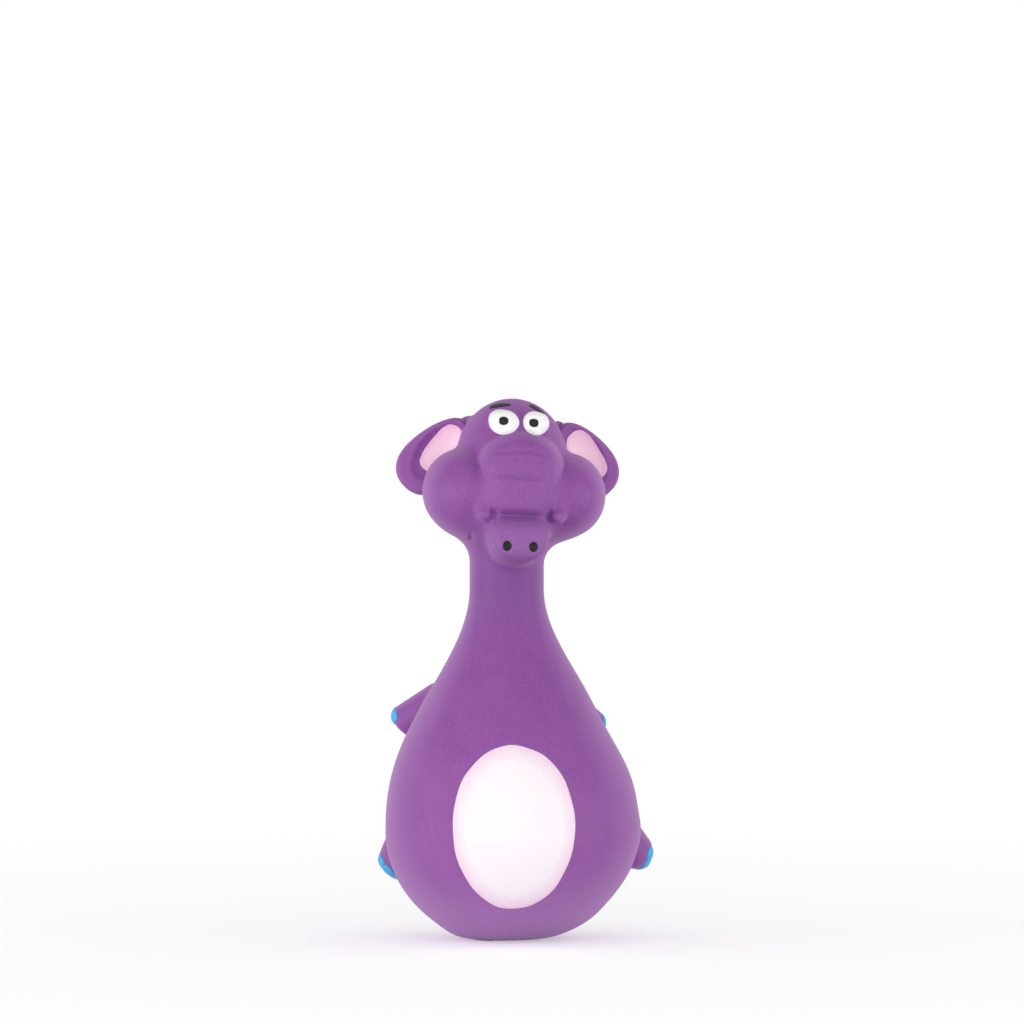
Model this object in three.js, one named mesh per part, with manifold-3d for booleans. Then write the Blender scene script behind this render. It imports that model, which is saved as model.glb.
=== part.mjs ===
// Squeaky dog toy: a hollow latex elephant with a pear-shaped body, a slim neck and a big-cheeked head.
// It stands upright on a small flat base, and a plastic squeaker is plugged into that base.
// Millimetres, +Z up, the face towards -Y, the origin at the middle of the base.
import * as THREE from "three";
import { mergeVertices } from "three/addons/utils/BufferGeometryUtils.js";
import Module from "manifold-3d";

const wasm = await Module();
wasm.setup();

// Latex skin and fits
const WALL = 2.4; // thickness of the moulded skin
const GAP = 0.3; // clearance between pieces that seat on each other
const PAINT = 0.5; // height of a painted area above its clearance

// Body
const BODY_WIDTH = 62;
const BODY_DEPTH = 55;
const BELLY_HEIGHT = 26.5; // widest place above the base
const BASE_FLAT = 20; // width of the flat that it stands on
const SHOULDER_POWER = 1.2; // above 1 keeps the shoulders full before the neck
const BELLY_PATCH = { width: 30, height: 40, rise: 28.9, shift: 0.4 };

// Neck
const NECK_DIAMETER = 18.2;
const NECK_WAIST = 86; // height where the neck becomes straight
const NECK_LEAN = -1.3; // sideways shift of the neck from the body's axis
const NECK_START = 80; // height where the body ends
const NECK_RING = 7; // height of each of the two neck rings
const SEAM_BULGE = 2.1; // the neck bends at ball-shaped seams, this much rounder than the neck
const SEAM_FACETS = { around: 24, along: 16 };

// Limbs: stub legs with flat soles, of which the azimuth runs from the toy's side towards its back.
// In degrees: the leg's droop, the sole's tip, and the toes' turn from the foot's top to its front.
const LEG_LENGTH = 9; // from the middle of the root to the middle of the foot
const LEGS = [
  {
    name: "right_foreleg", side: -1, azimuth: 20, height: 53.2, out: 2.6, droop: 30,
    root: 10, foot: 9.4, sole: { tip: 45, drop: 2.9 }, toes: 5, underside: 0,
  },
  {
    name: "left_foreleg", side: 1, azimuth: 42, height: 51.8, out: 1.9, droop: 30,
    root: 9.6, foot: 9.2, sole: { tip: 45, drop: 2.9 }, toes: 5, underside: 0,
  },
  {
    name: "right_hind_leg", side: -1, azimuth: 28, height: 18.6, out: 3, droop: 64,
    root: 10, foot: 9.8, sole: { tip: 42, drop: 3.9 }, toes: 90, underside: 0,
  },
  {
    name: "left_hind_leg", side: 1, azimuth: 23, height: 20.6, out: 2.6, droop: 45,
    root: 12.8, foot: 10.4, sole: { tip: 16, drop: 4.6 }, toes: 128, underside: 16.3,
  },
];
const NAIL = { width: 3, length: 3.7, thickness: 1.9, spread: 43 }; // spread in degrees round the foot
const NAILS_PER_FOOT = ["outer", "middle", "inner"];

// Head, in its own axes: heights from the base, the face straight ahead, sizes across the whole form
const HEAD = { shift: 0.3, pivot: 110, turn: 6.5, roll: 2.3 }; // turned and rolled, in degrees, at a height
const CRANIUM = { x: -0.6, y: 1.4, z: 117.9, width: 27, depth: 28.4, height: 29 };
const CHEEK = { side: 12.75, y: -2, z: 109.2, width: 19.4, depth: 24.8, height: 20.8 };
const JAW = { x: -0.55, y: 0, z: 104.4, width: 34.4, depth: 29.6, height: 19.4 };
const COLLAR = { height: 6, flare: 2.4 }; // where the neck opens into the head
const MUZZLE_DROP = 2.4; // from the middle of the cranium down to the middle of the muzzle's top
const MUZZLE_TOP = { x: -0.4, y: -9, z: CRANIUM.z - MUZZLE_DROP, width: 23.8, depth: 21.2, height: 17.8 };
const MUZZLE_LOW = { x: -0.4, y: -9.4, z: 108.2, width: 19.4, depth: 19.2, height: 14.4 };
const MUZZLE_FRONT = -18.7; // where the muzzle is flattened
const TRUNK_TIP = { x: 0.15, y: -14.8, z: 97.1, width: 14.5, depth: 14.4, height: 9.9 };
const TRUNK_SQUARE = 0.68; // the trunk's end is boxy, from 1 for round towards 0 for square
const TRUNK_TILT = -7; // degrees
const TRUNK_BACK = { x: -0.4, y: -10.6, z: 102.2, width: 13.2, depth: 12, height: 9.6 };
const LIP = { x: -1.4, y: -12.6, z: 96, width: 12, depth: 8.4, height: 7.8 };
const TRUNK_CLEARANCE = 2; // room for the neck behind the trunk when the head leans
const TUSK_ROOT = { x: 9.6, y: -10.4, z: 106.6, width: 4, depth: 4, height: 4 };
const TUSK_TIP = { x: 8.7, y: -13.2, z: 103.7, width: 3.2, depth: 3.2, height: 3.2 };
const TUSK_SHIFT = 0.6; // sideways shift of both tusks
// An eye's back is from the foremost point of the cranium, and its rise from the cranium's middle
const EYE = { side: 4, back: 4.4, rise: 8.3, width: 7.6, depth: 5.4, height: 6.6 };
const PUPIL = { size: 2.4, bulge: 0.9, shift: -0.5 };
const BROW = { length: 5.4, thickness: 1.5 };
const BROW_SEATS = {
  right: { x: -4.5, rise: 12.4, slope: 0.16 },
  left: { x: 4.8, rise: 11.6, slope: -0.62 },
};
const NOSTRIL = { width: 2.3, height: 2.5, bulge: 1.6, side: 3.15, shift: -0.7, drop: 0.8 };

// Ears: flat fans that droop outwards and sweep back, dished in front for the pink pad
const EAR = { length: 22.2, height: 13.2, thickness: 3.8, rounding: 1.8, fan: 0.3 };
// The middle of an ear on the head, with its rise from the cranium's middle
const EAR_SEAT = { side: 18.65, y: 8.75, rise: 0.25, droop: 49, sweep: 25 };
const EAR_ROOT = { x: -9.3, y: -0.9, z: -1, width: 5.8, depth: 5.6, height: 2.8 }; // swells towards the head
const EAR_DISH = { x: -1.7, y: -0.6, width: 16.6, depth: 9.4, height: 4.2 };
const EAR_PAD = 0.9; // thickness of the pink pad
const EAR_CLEARANCE = 0.8; // lets the ear bend back without touching the head

// Squeaker: a flanged plug in the base, with a reed clamped on a slotted block
const BOSS = { diameter: 19, height: 4.6 }; // thick latex round the plug
const PLUG = { hole: 10.4, flange: 13, flangeThickness: 0.9, recess: 0.4, barb: 12.4, barbHeight: 1.6 };
const BARREL = { diameter: 10.4, wall: 1.3, floor: 3, top: 15 };
const VENT = 3; // diameter of the air hole
const REED = { width: 3.4, thickness: 0.35, length: 9.2 };
const REED_BLOCK = { height: 10.2, slotWidth: 2.2, slotDepth: 2, slotSill: 2.4 };
const REED_CLAMP = 2; // height of the wedge that holds the reed's foot
const CAP = { thickness: 1.2, spigot: 1.3, hole: 4 };

// Facets
const ROUND = 24; // points in a ring of the skin
const BALL = { around: 18, along: 12 };
const SMALL_BALL = { around: 12, along: 8 }; // eyes, and the inside of the head
const BEAD = { around: 10, along: 6 }; // small painted pieces
const BELLY_STEPS = 5;
const SHOULDER_STEPS = 9;
const PATCH_POINTS = 32;
const EAR_POINTS = 24;
const EAR_EDGE = [-80, -40, 0, 40, 80]; // degrees round the ear's edge, from back to front

// Finishes
const finish = (color, roughness) => new THREE.MeshStandardMaterial({ color, roughness, metalness: 0 });
const PURPLE_LATEX = finish(0x945aa2, 0.62);
const PINK_PAINT = finish(0xf8bfdb, 0.5);
const BELLY_PAINT = finish(0xfdf1f8, 0.45);
const WHITE_PAINT = finish(0xfbfbf8, 0.4);
const BLACK_PAINT = finish(0x2a242b, 0.4);
const BLUE_PAINT = finish(0x45afe6, 0.45);
const WHITE_PLASTIC = finish(0xe9e7df, 0.4);
const REED_FILM = finish(0xd8c9a0, 0.3);

const point = (x, y, z) => new THREE.Vector3(x, y, z);
const UP = point(0, 0, 1);
const radians = THREE.MathUtils.degToRad;
const middleOf = (form) => point(form.x, form.y, form.z);
const sizeOf = (form) => point(form.width, form.depth, form.height);
const NO_TURN = new THREE.Quaternion();

// A closed geometry as a solid that can be joined and cut.
function solidOf(geometry) {
  const bare = geometry.clone();
  bare.deleteAttribute("normal");
  bare.deleteAttribute("uv");
  const merged = mergeVertices(bare, 1e-4);
  const vertProperties = merged.attributes.position.array;
  const triVerts = new Uint32Array(merged.index.array);
  return new wasm.Manifold(new wasm.Mesh({ numProp: 3, vertProperties, triVerts }));
}

// A solid as a geometry for a mesh.
function geometryOf(solid) {
  const { vertProperties, triVerts } = solid.getMesh();
  const geometry = new THREE.BufferGeometry();
  geometry.setAttribute("position", new THREE.BufferAttribute(vertProperties, 3));
  geometry.setIndex(new THREE.BufferAttribute(triVerts, 1));
  geometry.computeVertexNormals();
  return geometry;
}

// A named mesh of a solid, added to its parent.
function addPiece(parent, name, solid, material) {
  const mesh = new THREE.Mesh(geometryOf(solid), material);
  mesh.name = name;
  parent.add(mesh);
}

// An ellipsoid of the given full sizes, grown all round by an offset.
function ellipsoid(centre, size, { grow = 0, turn = NO_TURN, facets = BALL } = {}) {
  const radii = point(size.x, size.y, size.z).multiplyScalar(0.5).addScalar(grow);
  const geometry = new THREE.SphereGeometry(1, facets.around, facets.along).rotateX(Math.PI / 2);
  geometry.applyMatrix4(new THREE.Matrix4().compose(centre, turn, radii));
  return solidOf(geometry);
}

// A boxy ellipsoid: each direction's components are drawn towards the corners by a power under 1.
function roundedBlock(centre, size, square, turn) {
  const geometry = new THREE.SphereGeometry(1, BALL.around, BALL.along).rotateX(Math.PI / 2);
  const at = geometry.attributes.position;
  const squared = (value) => Math.sign(value) * Math.abs(value) ** square;
  for (let i = 0; i < at.count; i += 1) {
    at.setXYZ(i, squared(at.getX(i)), squared(at.getY(i)), squared(at.getZ(i)));
  }
  geometry.applyMatrix4(new THREE.Matrix4().compose(centre, turn, size.clone().multiplyScalar(0.5)));
  return solidOf(geometry);
}

// A closed solid over a stack of rings that have the same number of points.
function loft(rings) {
  const count = rings[0].length;
  const geometry = new THREE.BufferGeometry().setFromPoints(rings.flat());
  const faces = [];
  for (let level = 0; level + 1 < rings.length; level += 1) {
    for (let i = 0; i < count; i += 1) {
      const a = level * count + i;
      const b = level * count + ((i + 1) % count);
      faces.push(a, b, b + count, a, b + count, a + count);
    }
  }
  const last = (rings.length - 1) * count;
  for (let i = 1; i + 1 < count; i += 1) {
    faces.push(0, i + 1, i, last, last + i, last + i + 1);
  }
  geometry.setIndex(faces);
  return solidOf(geometry);
}

// A level ellipse of points.
function ellipseRing(centre, radiusX, radiusY, count = ROUND) {
  return Array.from({ length: count }, (_, i) => {
    const angle = (2 * Math.PI * i) / count;
    return point(centre.x + radiusX * Math.cos(angle), centre.y + radiusY * Math.sin(angle), centre.z);
  });
}

// An upright cylinder between two heights.
function cylinder(diameter, low, high) {
  const ring = (z) => ellipseRing(point(0, 0, z), diameter / 2, diameter / 2);
  return loft([ring(low), ring(high)]);
}

// A block between two corners.
function block(low, high) {
  const size = high.clone().sub(low);
  const middle = low.clone().add(high).multiplyScalar(0.5);
  return solidOf(new THREE.BoxGeometry(size.x, size.y, size.z).translate(middle.x, middle.y, middle.z));
}

// Body and neck skin

const neckRadius = NECK_DIAMETER / 2;
const bellyDrop = BELLY_HEIGHT / Math.sqrt(1 - (BASE_FLAT / BODY_WIDTH) ** 2);

// Share of the belly's girth at a height: an ellipse up to the belly, a soft S from there to the neck.
function bellyShare(z) {
  if (z < BELLY_HEIGHT) {
    return Math.sqrt(1 - ((BELLY_HEIGHT - z) / bellyDrop) ** 2);
  }
  const climb = Math.min(1, (z - BELLY_HEIGHT) / (NECK_WAIST - BELLY_HEIGHT));
  return (1 + Math.cos(Math.PI * climb ** SHOULDER_POWER)) / 2;
}

// Half width and half depth of the skin at a height.
function skinRadii(z) {
  const share = bellyShare(z);
  const slim = z < BELLY_HEIGHT ? 0 : neckRadius;
  return {
    x: slim + (BODY_WIDTH / 2 - slim) * share,
    y: slim + (BODY_DEPTH / 2 - slim) * share,
  };
}

// The skin's axis bends sideways from the belly to the neck.
const skinAxis = (z) => (z < BELLY_HEIGHT ? 0 : NECK_LEAN * (1 - bellyShare(z)));

// A ring of the skin, moved along the skin's normal by an offset.
function skinRing(z, offset) {
  const step = 0.01;
  const radii = skinRadii(z);
  const below = Math.max(0, z - step);
  const slope = (skinRadii(z + step).x - skinRadii(below).x) / (z + step - below);
  const steep = Math.hypot(1, slope);
  const out = offset / steep;
  return ellipseRing(point(skinAxis(z), 0, z - out * slope), radii.x + out, radii.y + out);
}

const skinStations = [
  ...Array.from({ length: BELLY_STEPS }, (_, i) => {
    const lowest = Math.acos(BELLY_HEIGHT / bellyDrop);
    const angle = lowest + ((Math.PI / 2 - lowest) * i) / BELLY_STEPS;
    return BELLY_HEIGHT - bellyDrop * Math.cos(angle);
  }),
  ...Array.from({ length: SHOULDER_STEPS + 1 }, (_, i) =>
    BELLY_HEIGHT + ((NECK_WAIST - BELLY_HEIGHT) * i) / SHOULDER_STEPS),
];

// The body and neck between two heights as one solid, grown or shrunk by an offset.
function skinSolid(low, high, offset = 0) {
  const margin = 0.8; // stations nearer than this to an end would make slivers
  const between = skinStations.filter((z) => z > low + margin && z < high - margin);
  return loft([low, ...between, high].map((z) => skinRing(z, offset)));
}

// Seams of the neck: the outside meets at a height, and the bend turns about a pivot below it.
const seamRadius = neckRadius + SEAM_BULGE;
const lowerSeam = NECK_START + NECK_RING;
const upperSeam = lowerSeam + NECK_RING;
const seamPivot = (height) => point(NECK_LEAN, 0, height - Math.sqrt(seamRadius ** 2 - neckRadius ** 2));

// The ball below a seam, or the socket above it when it is grown by the clearance.
function seamBall(height, grow = 0) {
  const size = 2 * seamRadius;
  return ellipsoid(seamPivot(height), point(size, size, size), { grow, facets: SEAM_FACETS });
}

// The neck's tube from one height to another.
function neckTube(low, high) {
  return skinSolid(low, high).subtract(skinSolid(low - WALL, high + WALL, -WALL));
}

// The lower ring ends in a ball, and the upper ring has a socket below and a ball above.
const neckLowerRing = () => neckTube(NECK_START + GAP, upperSeam).intersect(seamBall(lowerSeam));
function neckUpperRing() {
  const tube = neckTube(lowerSeam - GAP, upperSeam + seamRadius);
  return tube.subtract(seamBall(lowerSeam, GAP)).intersect(seamBall(upperSeam));
}

// The body with its thick boss and the stepped hole for the squeaker.
function torsoShell() {
  const outside = skinSolid(0, NECK_START);
  const boss = cylinder(BOSS.diameter, WALL / 2, BOSS.height).intersect(outside);
  const counterbore = PLUG.recess + PLUG.flangeThickness + GAP;
  return outside
    .subtract(skinSolid(0, NECK_START + WALL, -WALL))
    .add(boss)
    .subtract(cylinder(PLUG.flange + 2 * GAP, -1, counterbore))
    .subtract(cylinder(PLUG.hole, -1, BOSS.height + 1));
}

// The painted oval on the belly, laid on the skin.
function bellyPatch() {
  const outline = ellipseRing(point(0, 0, 0), BELLY_PATCH.width / 2, BELLY_PATCH.height / 2, PATCH_POINTS);
  const ring = (y) => outline.map((at) => point(BELLY_PATCH.shift + at.x, y, BELLY_PATCH.rise + at.y));
  const prism = loft([ring(0), ring(-BODY_DEPTH)]);
  return skinSolid(0, NECK_START, GAP + PAINT).intersect(prism).subtract(skinSolid(0, NECK_START, GAP));
}

// Limbs

// A direction out of the body at a leg, dipping by so many degrees.
function legWay({ side, azimuth }, dip) {
  const level = Math.cos(radians(dip));
  const round = radians(azimuth);
  return point(side * Math.cos(round) * level, Math.sin(round) * level, -Math.sin(radians(dip)));
}

// The middle of a leg's foot, a little way out of the skin.
function footMiddle(leg) {
  const level = legWay(leg, 0);
  const radii = skinRadii(leg.height);
  const reach = 1 / Math.hypot(level.x / radii.x, level.y / radii.y);
  return level.multiplyScalar(reach + leg.out).add(point(skinAxis(leg.height), 0, leg.height));
}

// A stub leg from its root in the body to its flat sole, grown by an offset.
function limbSolid(leg, grow = 0) {
  const foot = footMiddle(leg);
  const root = foot.clone().addScaledVector(legWay(leg, leg.droop), -LEG_LENGTH);
  const ball = (centre, size) => ellipsoid(centre, point(size, size, size), { grow });
  const sole = legWay(leg, leg.sole.tip);
  const soleEnd = sole.dot(foot) + leg.sole.drop + grow;
  return wasm.Manifold.hull([ball(root, leg.root), ball(foot, leg.foot)])
    .trimByPlane(sole.negate().toArray(), -soleEnd)
    .trimByPlane(UP.toArray(), leg.underside - grow);
}

// One toenail on the round of the foot beside the sole, at an angle from the foot's top to its front.
function nailSolid(leg, angle) {
  const sole = legWay(leg, leg.sole.tip);
  const above = UP.clone().addScaledVector(sole, -sole.z).normalize();
  const ahead = sole.clone().cross(above).multiplyScalar(leg.side);
  const toe = above.multiplyScalar(Math.cos(radians(angle))).addScaledVector(ahead, Math.sin(radians(angle)));
  const low = Math.asin((leg.sole.drop - NAIL.length / 2) / (leg.foot / 2));
  const out = toe.multiplyScalar(Math.cos(low)).addScaledVector(sole, Math.sin(low));
  const along = sole.clone().addScaledVector(out, -out.dot(sole)).normalize();
  const basis = new THREE.Matrix4().makeBasis(along.clone().cross(out), along, out);
  const turn = new THREE.Quaternion().setFromRotationMatrix(basis);
  const spot = footMiddle(leg).addScaledVector(out, leg.foot / 2);
  const nail = ellipsoid(spot, point(NAIL.width, NAIL.length, NAIL.thickness), { turn, facets: BEAD });
  return nail.subtract(limbSolid(leg, GAP)).subtract(skinSolid(0, NECK_START, GAP));
}

// Head

const headSeat = upperSeam + GAP;
const headTurn = new THREE.Euler(0, radians(HEAD.roll), radians(HEAD.turn), "ZYX");
const headPlace = new THREE.Matrix4()
  .makeTranslation(HEAD.shift, 0, HEAD.pivot)
  .multiply(new THREE.Matrix4().makeRotationFromEuler(headTurn))
  .multiply(new THREE.Matrix4().makeTranslation(0, 0, -HEAD.pivot));

// A solid drawn in the head's own axes, put where the head is.
const onHead = (solid) => solid.transform(headPlace.toArray());

// The neck opening out into the head, from a height up.
function collar(grow, low) {
  const steps = 4;
  const flare = (share) => neckRadius + COLLAR.flare * share ** 2 + grow;
  const ring = (share, z) => ellipseRing(point(NECK_LEAN, 0, z), flare(share), flare(share));
  const shares = Array.from({ length: steps }, (_, i) => (i + 1) / steps);
  return loft([ring(0, low), ...shares.map((share) => ring(share, headSeat + COLLAR.height * share))]);
}

// Cranium, cheeks, jaw, flat-fronted muzzle and collar in one, grown or shrunk by an offset.
function headSolid(grow, low) {
  const shape = { grow, facets: grow < 0 ? SMALL_BALL : BALL };
  const form = (piece) => ellipsoid(middleOf(piece), sizeOf(piece), shape);
  const cheek = (side) => form({ ...CHEEK, x: side * CHEEK.side });
  const muzzle = form(MUZZLE_TOP).add(form(MUZZLE_LOW)).trimByPlane([0, 1, 0], MUZZLE_FRONT - grow);
  const forms = [cheek(-1), cheek(1), form(JAW), muzzle].reduce((sum, part) => sum.add(part), form(CRANIUM));
  return onHead(forms).add(collar(grow, low));
}

// What seats on the head is cut by this.
const headSeatFor = headSolid(GAP, headSeat);

// The hollow head, with the socket for the neck's upper ball.
function headShell() {
  const foot = headSeat - NECK_RING;
  return headSolid(0, foot).subtract(headSolid(-WALL, foot - WALL)).subtract(seamBall(upperSeam, GAP));
}

// The short trunk faces straight ahead and is tilted up.
const trunkTurn = new THREE.Quaternion().setFromEuler(
  new THREE.Euler(radians(TRUNK_TILT), 0, -radians(HEAD.turn), "ZYX"));

// The trunk's boxy end with its back and the lip under it, grown by an offset.
function trunkTip(grow = 0) {
  const size = sizeOf(TRUNK_TIP).addScalar(2 * grow);
  const end = roundedBlock(middleOf(TRUNK_TIP), size, TRUNK_SQUARE, trunkTurn);
  const back = ellipsoid(middleOf(TRUNK_BACK), sizeOf(TRUNK_BACK), { grow });
  const lip = ellipsoid(middleOf(LIP), sizeOf(LIP), { grow });
  return onHead(end.add(back).add(lip));
}

function trunkTipPiece() {
  const neckRoom = cylinder(NECK_DIAMETER + 2 * TRUNK_CLEARANCE, headSeat - TRUNK_TIP.height, headSeat + GAP);
  return trunkTip().subtract(headSeatFor).subtract(neckRoom.translate([NECK_LEAN, 0, 0]));
}

// A tusk stub beside the trunk, pointing down to the front.
function tusk(side) {
  const ball = (form) => {
    const centre = point(TUSK_SHIFT + side * form.x, form.y, form.z);
    return ellipsoid(centre, sizeOf(form), { facets: SMALL_BALL });
  };
  return onHead(wasm.Manifold.hull([ball(TUSK_ROOT), ball(TUSK_TIP)])).subtract(headSeatFor);
}

// The eyes follow the front of the cranium.
const eyeY = CRANIUM.y - CRANIUM.depth / 2 + EYE.back;
const eyeZ = CRANIUM.z + EYE.rise;

// A raised eye, grown by an offset.
function eye(side, grow = 0) {
  return onHead(ellipsoid(point(side * EYE.side, eyeY, eyeZ), sizeOf(EYE), { grow, facets: SMALL_BALL }));
}

function pupil(side) {
  const front = point(side * EYE.side + PUPIL.shift, eyeY - EYE.depth / 2, eyeZ);
  const dot = ellipsoid(front, point(PUPIL.size, 2 * PUPIL.bulge, PUPIL.size), { facets: BEAD });
  return onHead(dot).subtract(eye(side, GAP));
}

// A brow stroke on the front of the cranium, turned to face outwards there.
function brow({ x, rise, slope }) {
  const z = CRANIUM.z + rise;
  const half = sizeOf(CRANIUM).multiplyScalar(0.5);
  const across = (x - CRANIUM.x) / half.x;
  const up = (z - CRANIUM.z) / half.z;
  const front = -Math.sqrt(1 - across ** 2 - up ** 2);
  const normal = point(across / half.x, front / half.y, up / half.z).normalize();
  const facing = new THREE.Quaternion().setFromUnitVectors(point(0, -1, 0), normal);
  const turn = new THREE.Quaternion().setFromAxisAngle(normal, Math.atan(slope)).multiply(facing);
  const size = point(BROW.length, 2 * (GAP + PAINT) + BROW.thickness / 2, BROW.thickness);
  const stroke = ellipsoid(point(x, CRANIUM.y + front * half.y, z), size, { turn, facets: BEAD });
  return onHead(stroke).subtract(headSeatFor);
}

// A painted nostril on the end of the trunk.
function nostril(side) {
  const spot = point(NOSTRIL.shift + side * NOSTRIL.side, -TRUNK_TIP.depth / 2, -NOSTRIL.drop);
  const front = spot.applyQuaternion(trunkTurn).add(middleOf(TRUNK_TIP));
  const size = point(NOSTRIL.width, 2 * NOSTRIL.bulge, NOSTRIL.height);
  return onHead(ellipsoid(front, size, { turn: trunkTurn, facets: BEAD })).subtract(trunkTip(GAP));
}

// Ears

// Places an ear: its own +X runs down and out to the tip, its own +Z to the front.
function earPlace(side) {
  const sweep = radians(EAR_SEAT.sweep);
  const droop = radians(EAR_SEAT.droop);
  const level = point(side * Math.cos(sweep), Math.sin(sweep), 0);
  const out = level.multiplyScalar(Math.cos(droop)).addScaledVector(UP, -Math.sin(droop));
  const front = point(side * Math.sin(sweep), -Math.cos(sweep), 0);
  const place = new THREE.Matrix4().makeBasis(out, front.clone().cross(out), front);
  place.setPosition(side * EAR_SEAT.side, EAR_SEAT.y, CRANIUM.z + EAR_SEAT.rise);
  return headPlace.clone().multiply(place);
}

// What is drawn in an ear's own axes, put in its place and cut clear of the head.
const onEar = (solid, side) =>
  solid.transform(earPlace(side).toArray()).subtract(headSolid(EAR_CLEARANCE, headSeat));

// The ear's outline at an angle round its edge: wider at the tip, and drawn in where the edge is rounded.
function earRing(lean) {
  const inset = EAR.rounding * (1 - Math.cos(lean));
  const z = (EAR.thickness / 2) * Math.sin(lean);
  const outline = ellipseRing(point(0, 0, z), EAR.length / 2 - inset, EAR.height / 2 - inset, EAR_POINTS);
  return outline.map((at) => point(at.x, at.y * (1 + (EAR.fan * at.x) / (EAR.length / 2)), z));
}

// The dish, which sits below the ear's middle line on both sides, grown by an offset.
const earDish = (side, grow) =>
  ellipsoid(point(EAR_DISH.x, side * EAR_DISH.y, EAR.thickness / 2), sizeOf(EAR_DISH), { grow });

function ear(side) {
  const rootMiddle = point(EAR_ROOT.x, side * EAR_ROOT.y, EAR_ROOT.z);
  const root = ellipsoid(rootMiddle, sizeOf(EAR_ROOT), { facets: SMALL_BALL });
  const flap = loft(EAR_EDGE.map((angle) => earRing(radians(angle))));
  return onEar(flap.add(root).subtract(earDish(side, 0)), side);
}

// The pink pad on the floor of the ear's dish.
function earPad(side) {
  const floor = (EAR.thickness - EAR_DISH.height) / 2 + GAP;
  const reach = EAR.length;
  const slab = block(point(-reach, -reach, floor - reach), point(reach, reach, floor + EAR_PAD));
  return onEar(earDish(side, -GAP).intersect(slab), side);
}

// Squeaker

const boreDiameter = BARREL.diameter - 2 * BARREL.wall;
const blockDiameter = boreDiameter - 2 * GAP;
const reedBack = -REED.thickness / 2; // the reed stands on the squeaker's axis
const stemTop = BOSS.height + GAP;

// The flanged plug: flange outside, stem through the boss, barb and barrel inside.
function squeakerPlug() {
  const flangeTop = PLUG.recess + PLUG.flangeThickness;
  return cylinder(PLUG.flange, PLUG.recess, flangeTop)
    .add(cylinder(PLUG.hole - 2 * GAP, PLUG.recess, stemTop))
    .add(cylinder(PLUG.barb, stemTop, stemTop + PLUG.barbHeight))
    .add(cylinder(BARREL.diameter, stemTop, BARREL.top))
    .subtract(cylinder(boreDiameter, BARREL.floor, BARREL.top + 1))
    .subtract(cylinder(VENT, -1, BARREL.floor + 1));
}

// Half of the bore's round behind or in front of the reed, between two heights.
function boreHalf(front, low, high) {
  const far = BARREL.diameter;
  const face = REED.thickness / 2 + GAP;
  const side = front
    ? block(point(-far, -far, low - 1), point(far, -face, high + 1))
    : block(point(-far, face, low - 1), point(far, far, high + 1));
  return cylinder(blockDiameter, low, high).intersect(side);
}

const reedFoot = BARREL.floor + GAP;

// The block that the reed beats on, with its air slot open at the top.
function reedBlock() {
  const top = reedFoot + REED_BLOCK.height;
  const half = REED_BLOCK.slotWidth / 2;
  const deep = REED.thickness / 2 + GAP + REED_BLOCK.slotDepth;
  const slot = block(point(-half, -1, reedFoot + REED_BLOCK.slotSill), point(half, deep, top + 1));
  return boreHalf(false, reedFoot, top).subtract(slot);
}

function reedLeaf() {
  const half = REED.width / 2;
  return block(point(-half, reedBack, reedFoot), point(half, -reedBack, reedFoot + REED.length));
}

const reedClamp = () => boreHalf(true, reedFoot, reedFoot + REED_CLAMP);

// The cap that closes the barrel, with an air hole.
function squeakerCap() {
  const low = BARREL.top + GAP;
  return cylinder(BARREL.diameter, low, low + CAP.thickness)
    .add(cylinder(blockDiameter, low - CAP.spigot, low))
    .subtract(cylinder(CAP.hole, low - CAP.spigot - 1, low + CAP.thickness + 1));
}

// Assembly

const toy = new THREE.Group();
addPiece(toy, "torso_shell", torsoShell(), PURPLE_LATEX);
addPiece(toy, "belly_patch", bellyPatch(), BELLY_PAINT);
for (const leg of LEGS) {
  addPiece(toy, leg.name, limbSolid(leg).subtract(skinSolid(0, NECK_START, GAP)), PURPLE_LATEX);
  NAILS_PER_FOOT.forEach((which, i) => {
    addPiece(toy, `${leg.name}_${which}_nail`, nailSolid(leg, leg.toes + (i - 1) * NAIL.spread), BLUE_PAINT);
  });
}

addPiece(toy, "neck_lower_ring", neckLowerRing(), PURPLE_LATEX);
addPiece(toy, "neck_upper_ring", neckUpperRing(), PURPLE_LATEX);

addPiece(toy, "squeaker_plug", squeakerPlug(), WHITE_PLASTIC);
addPiece(toy, "reed_block", reedBlock(), WHITE_PLASTIC);
addPiece(toy, "reed_leaf", reedLeaf(), REED_FILM);
addPiece(toy, "reed_clamp", reedClamp(), WHITE_PLASTIC);
addPiece(toy, "squeaker_cap", squeakerCap(), WHITE_PLASTIC);

const head = new THREE.Group();
toy.add(head);
addPiece(head, "head_shell", headShell(), PURPLE_LATEX);
addPiece(head, "trunk_tip", trunkTipPiece(), PURPLE_LATEX);
for (const [sideName, side] of [["right", -1], ["left", 1]]) {
  addPiece(head, `${sideName}_tusk`, tusk(side), PURPLE_LATEX);
  addPiece(head, `${sideName}_eye`, eye(side).subtract(headSeatFor), WHITE_PAINT);
  addPiece(head, `${sideName}_pupil`, pupil(side), BLACK_PAINT);
  addPiece(head, `${sideName}_brow`, brow(BROW_SEATS[sideName]), BLACK_PAINT);
  addPiece(head, `${sideName}_nostril`, nostril(side), BLACK_PAINT);
  addPiece(head, `${sideName}_ear`, ear(side), PURPLE_LATEX);
  addPiece(head, `${sideName}_ear_pad`, earPad(side), PINK_PAINT);
}

export default toy;
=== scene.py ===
"""Squeaky dog toy: a hollow latex elephant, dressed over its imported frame.

The latex is one smooth form in millimetres, wrapped in a net of faces and cut where the toy bends.
Paint lies on that form as thin crowned films, and the plastic squeaker keeps its own solids.
"""

import logging
import math
from abc import ABC, abstractmethod
from dataclasses import dataclass, field, replace
from enum import Enum
from typing import Sequence

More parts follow.
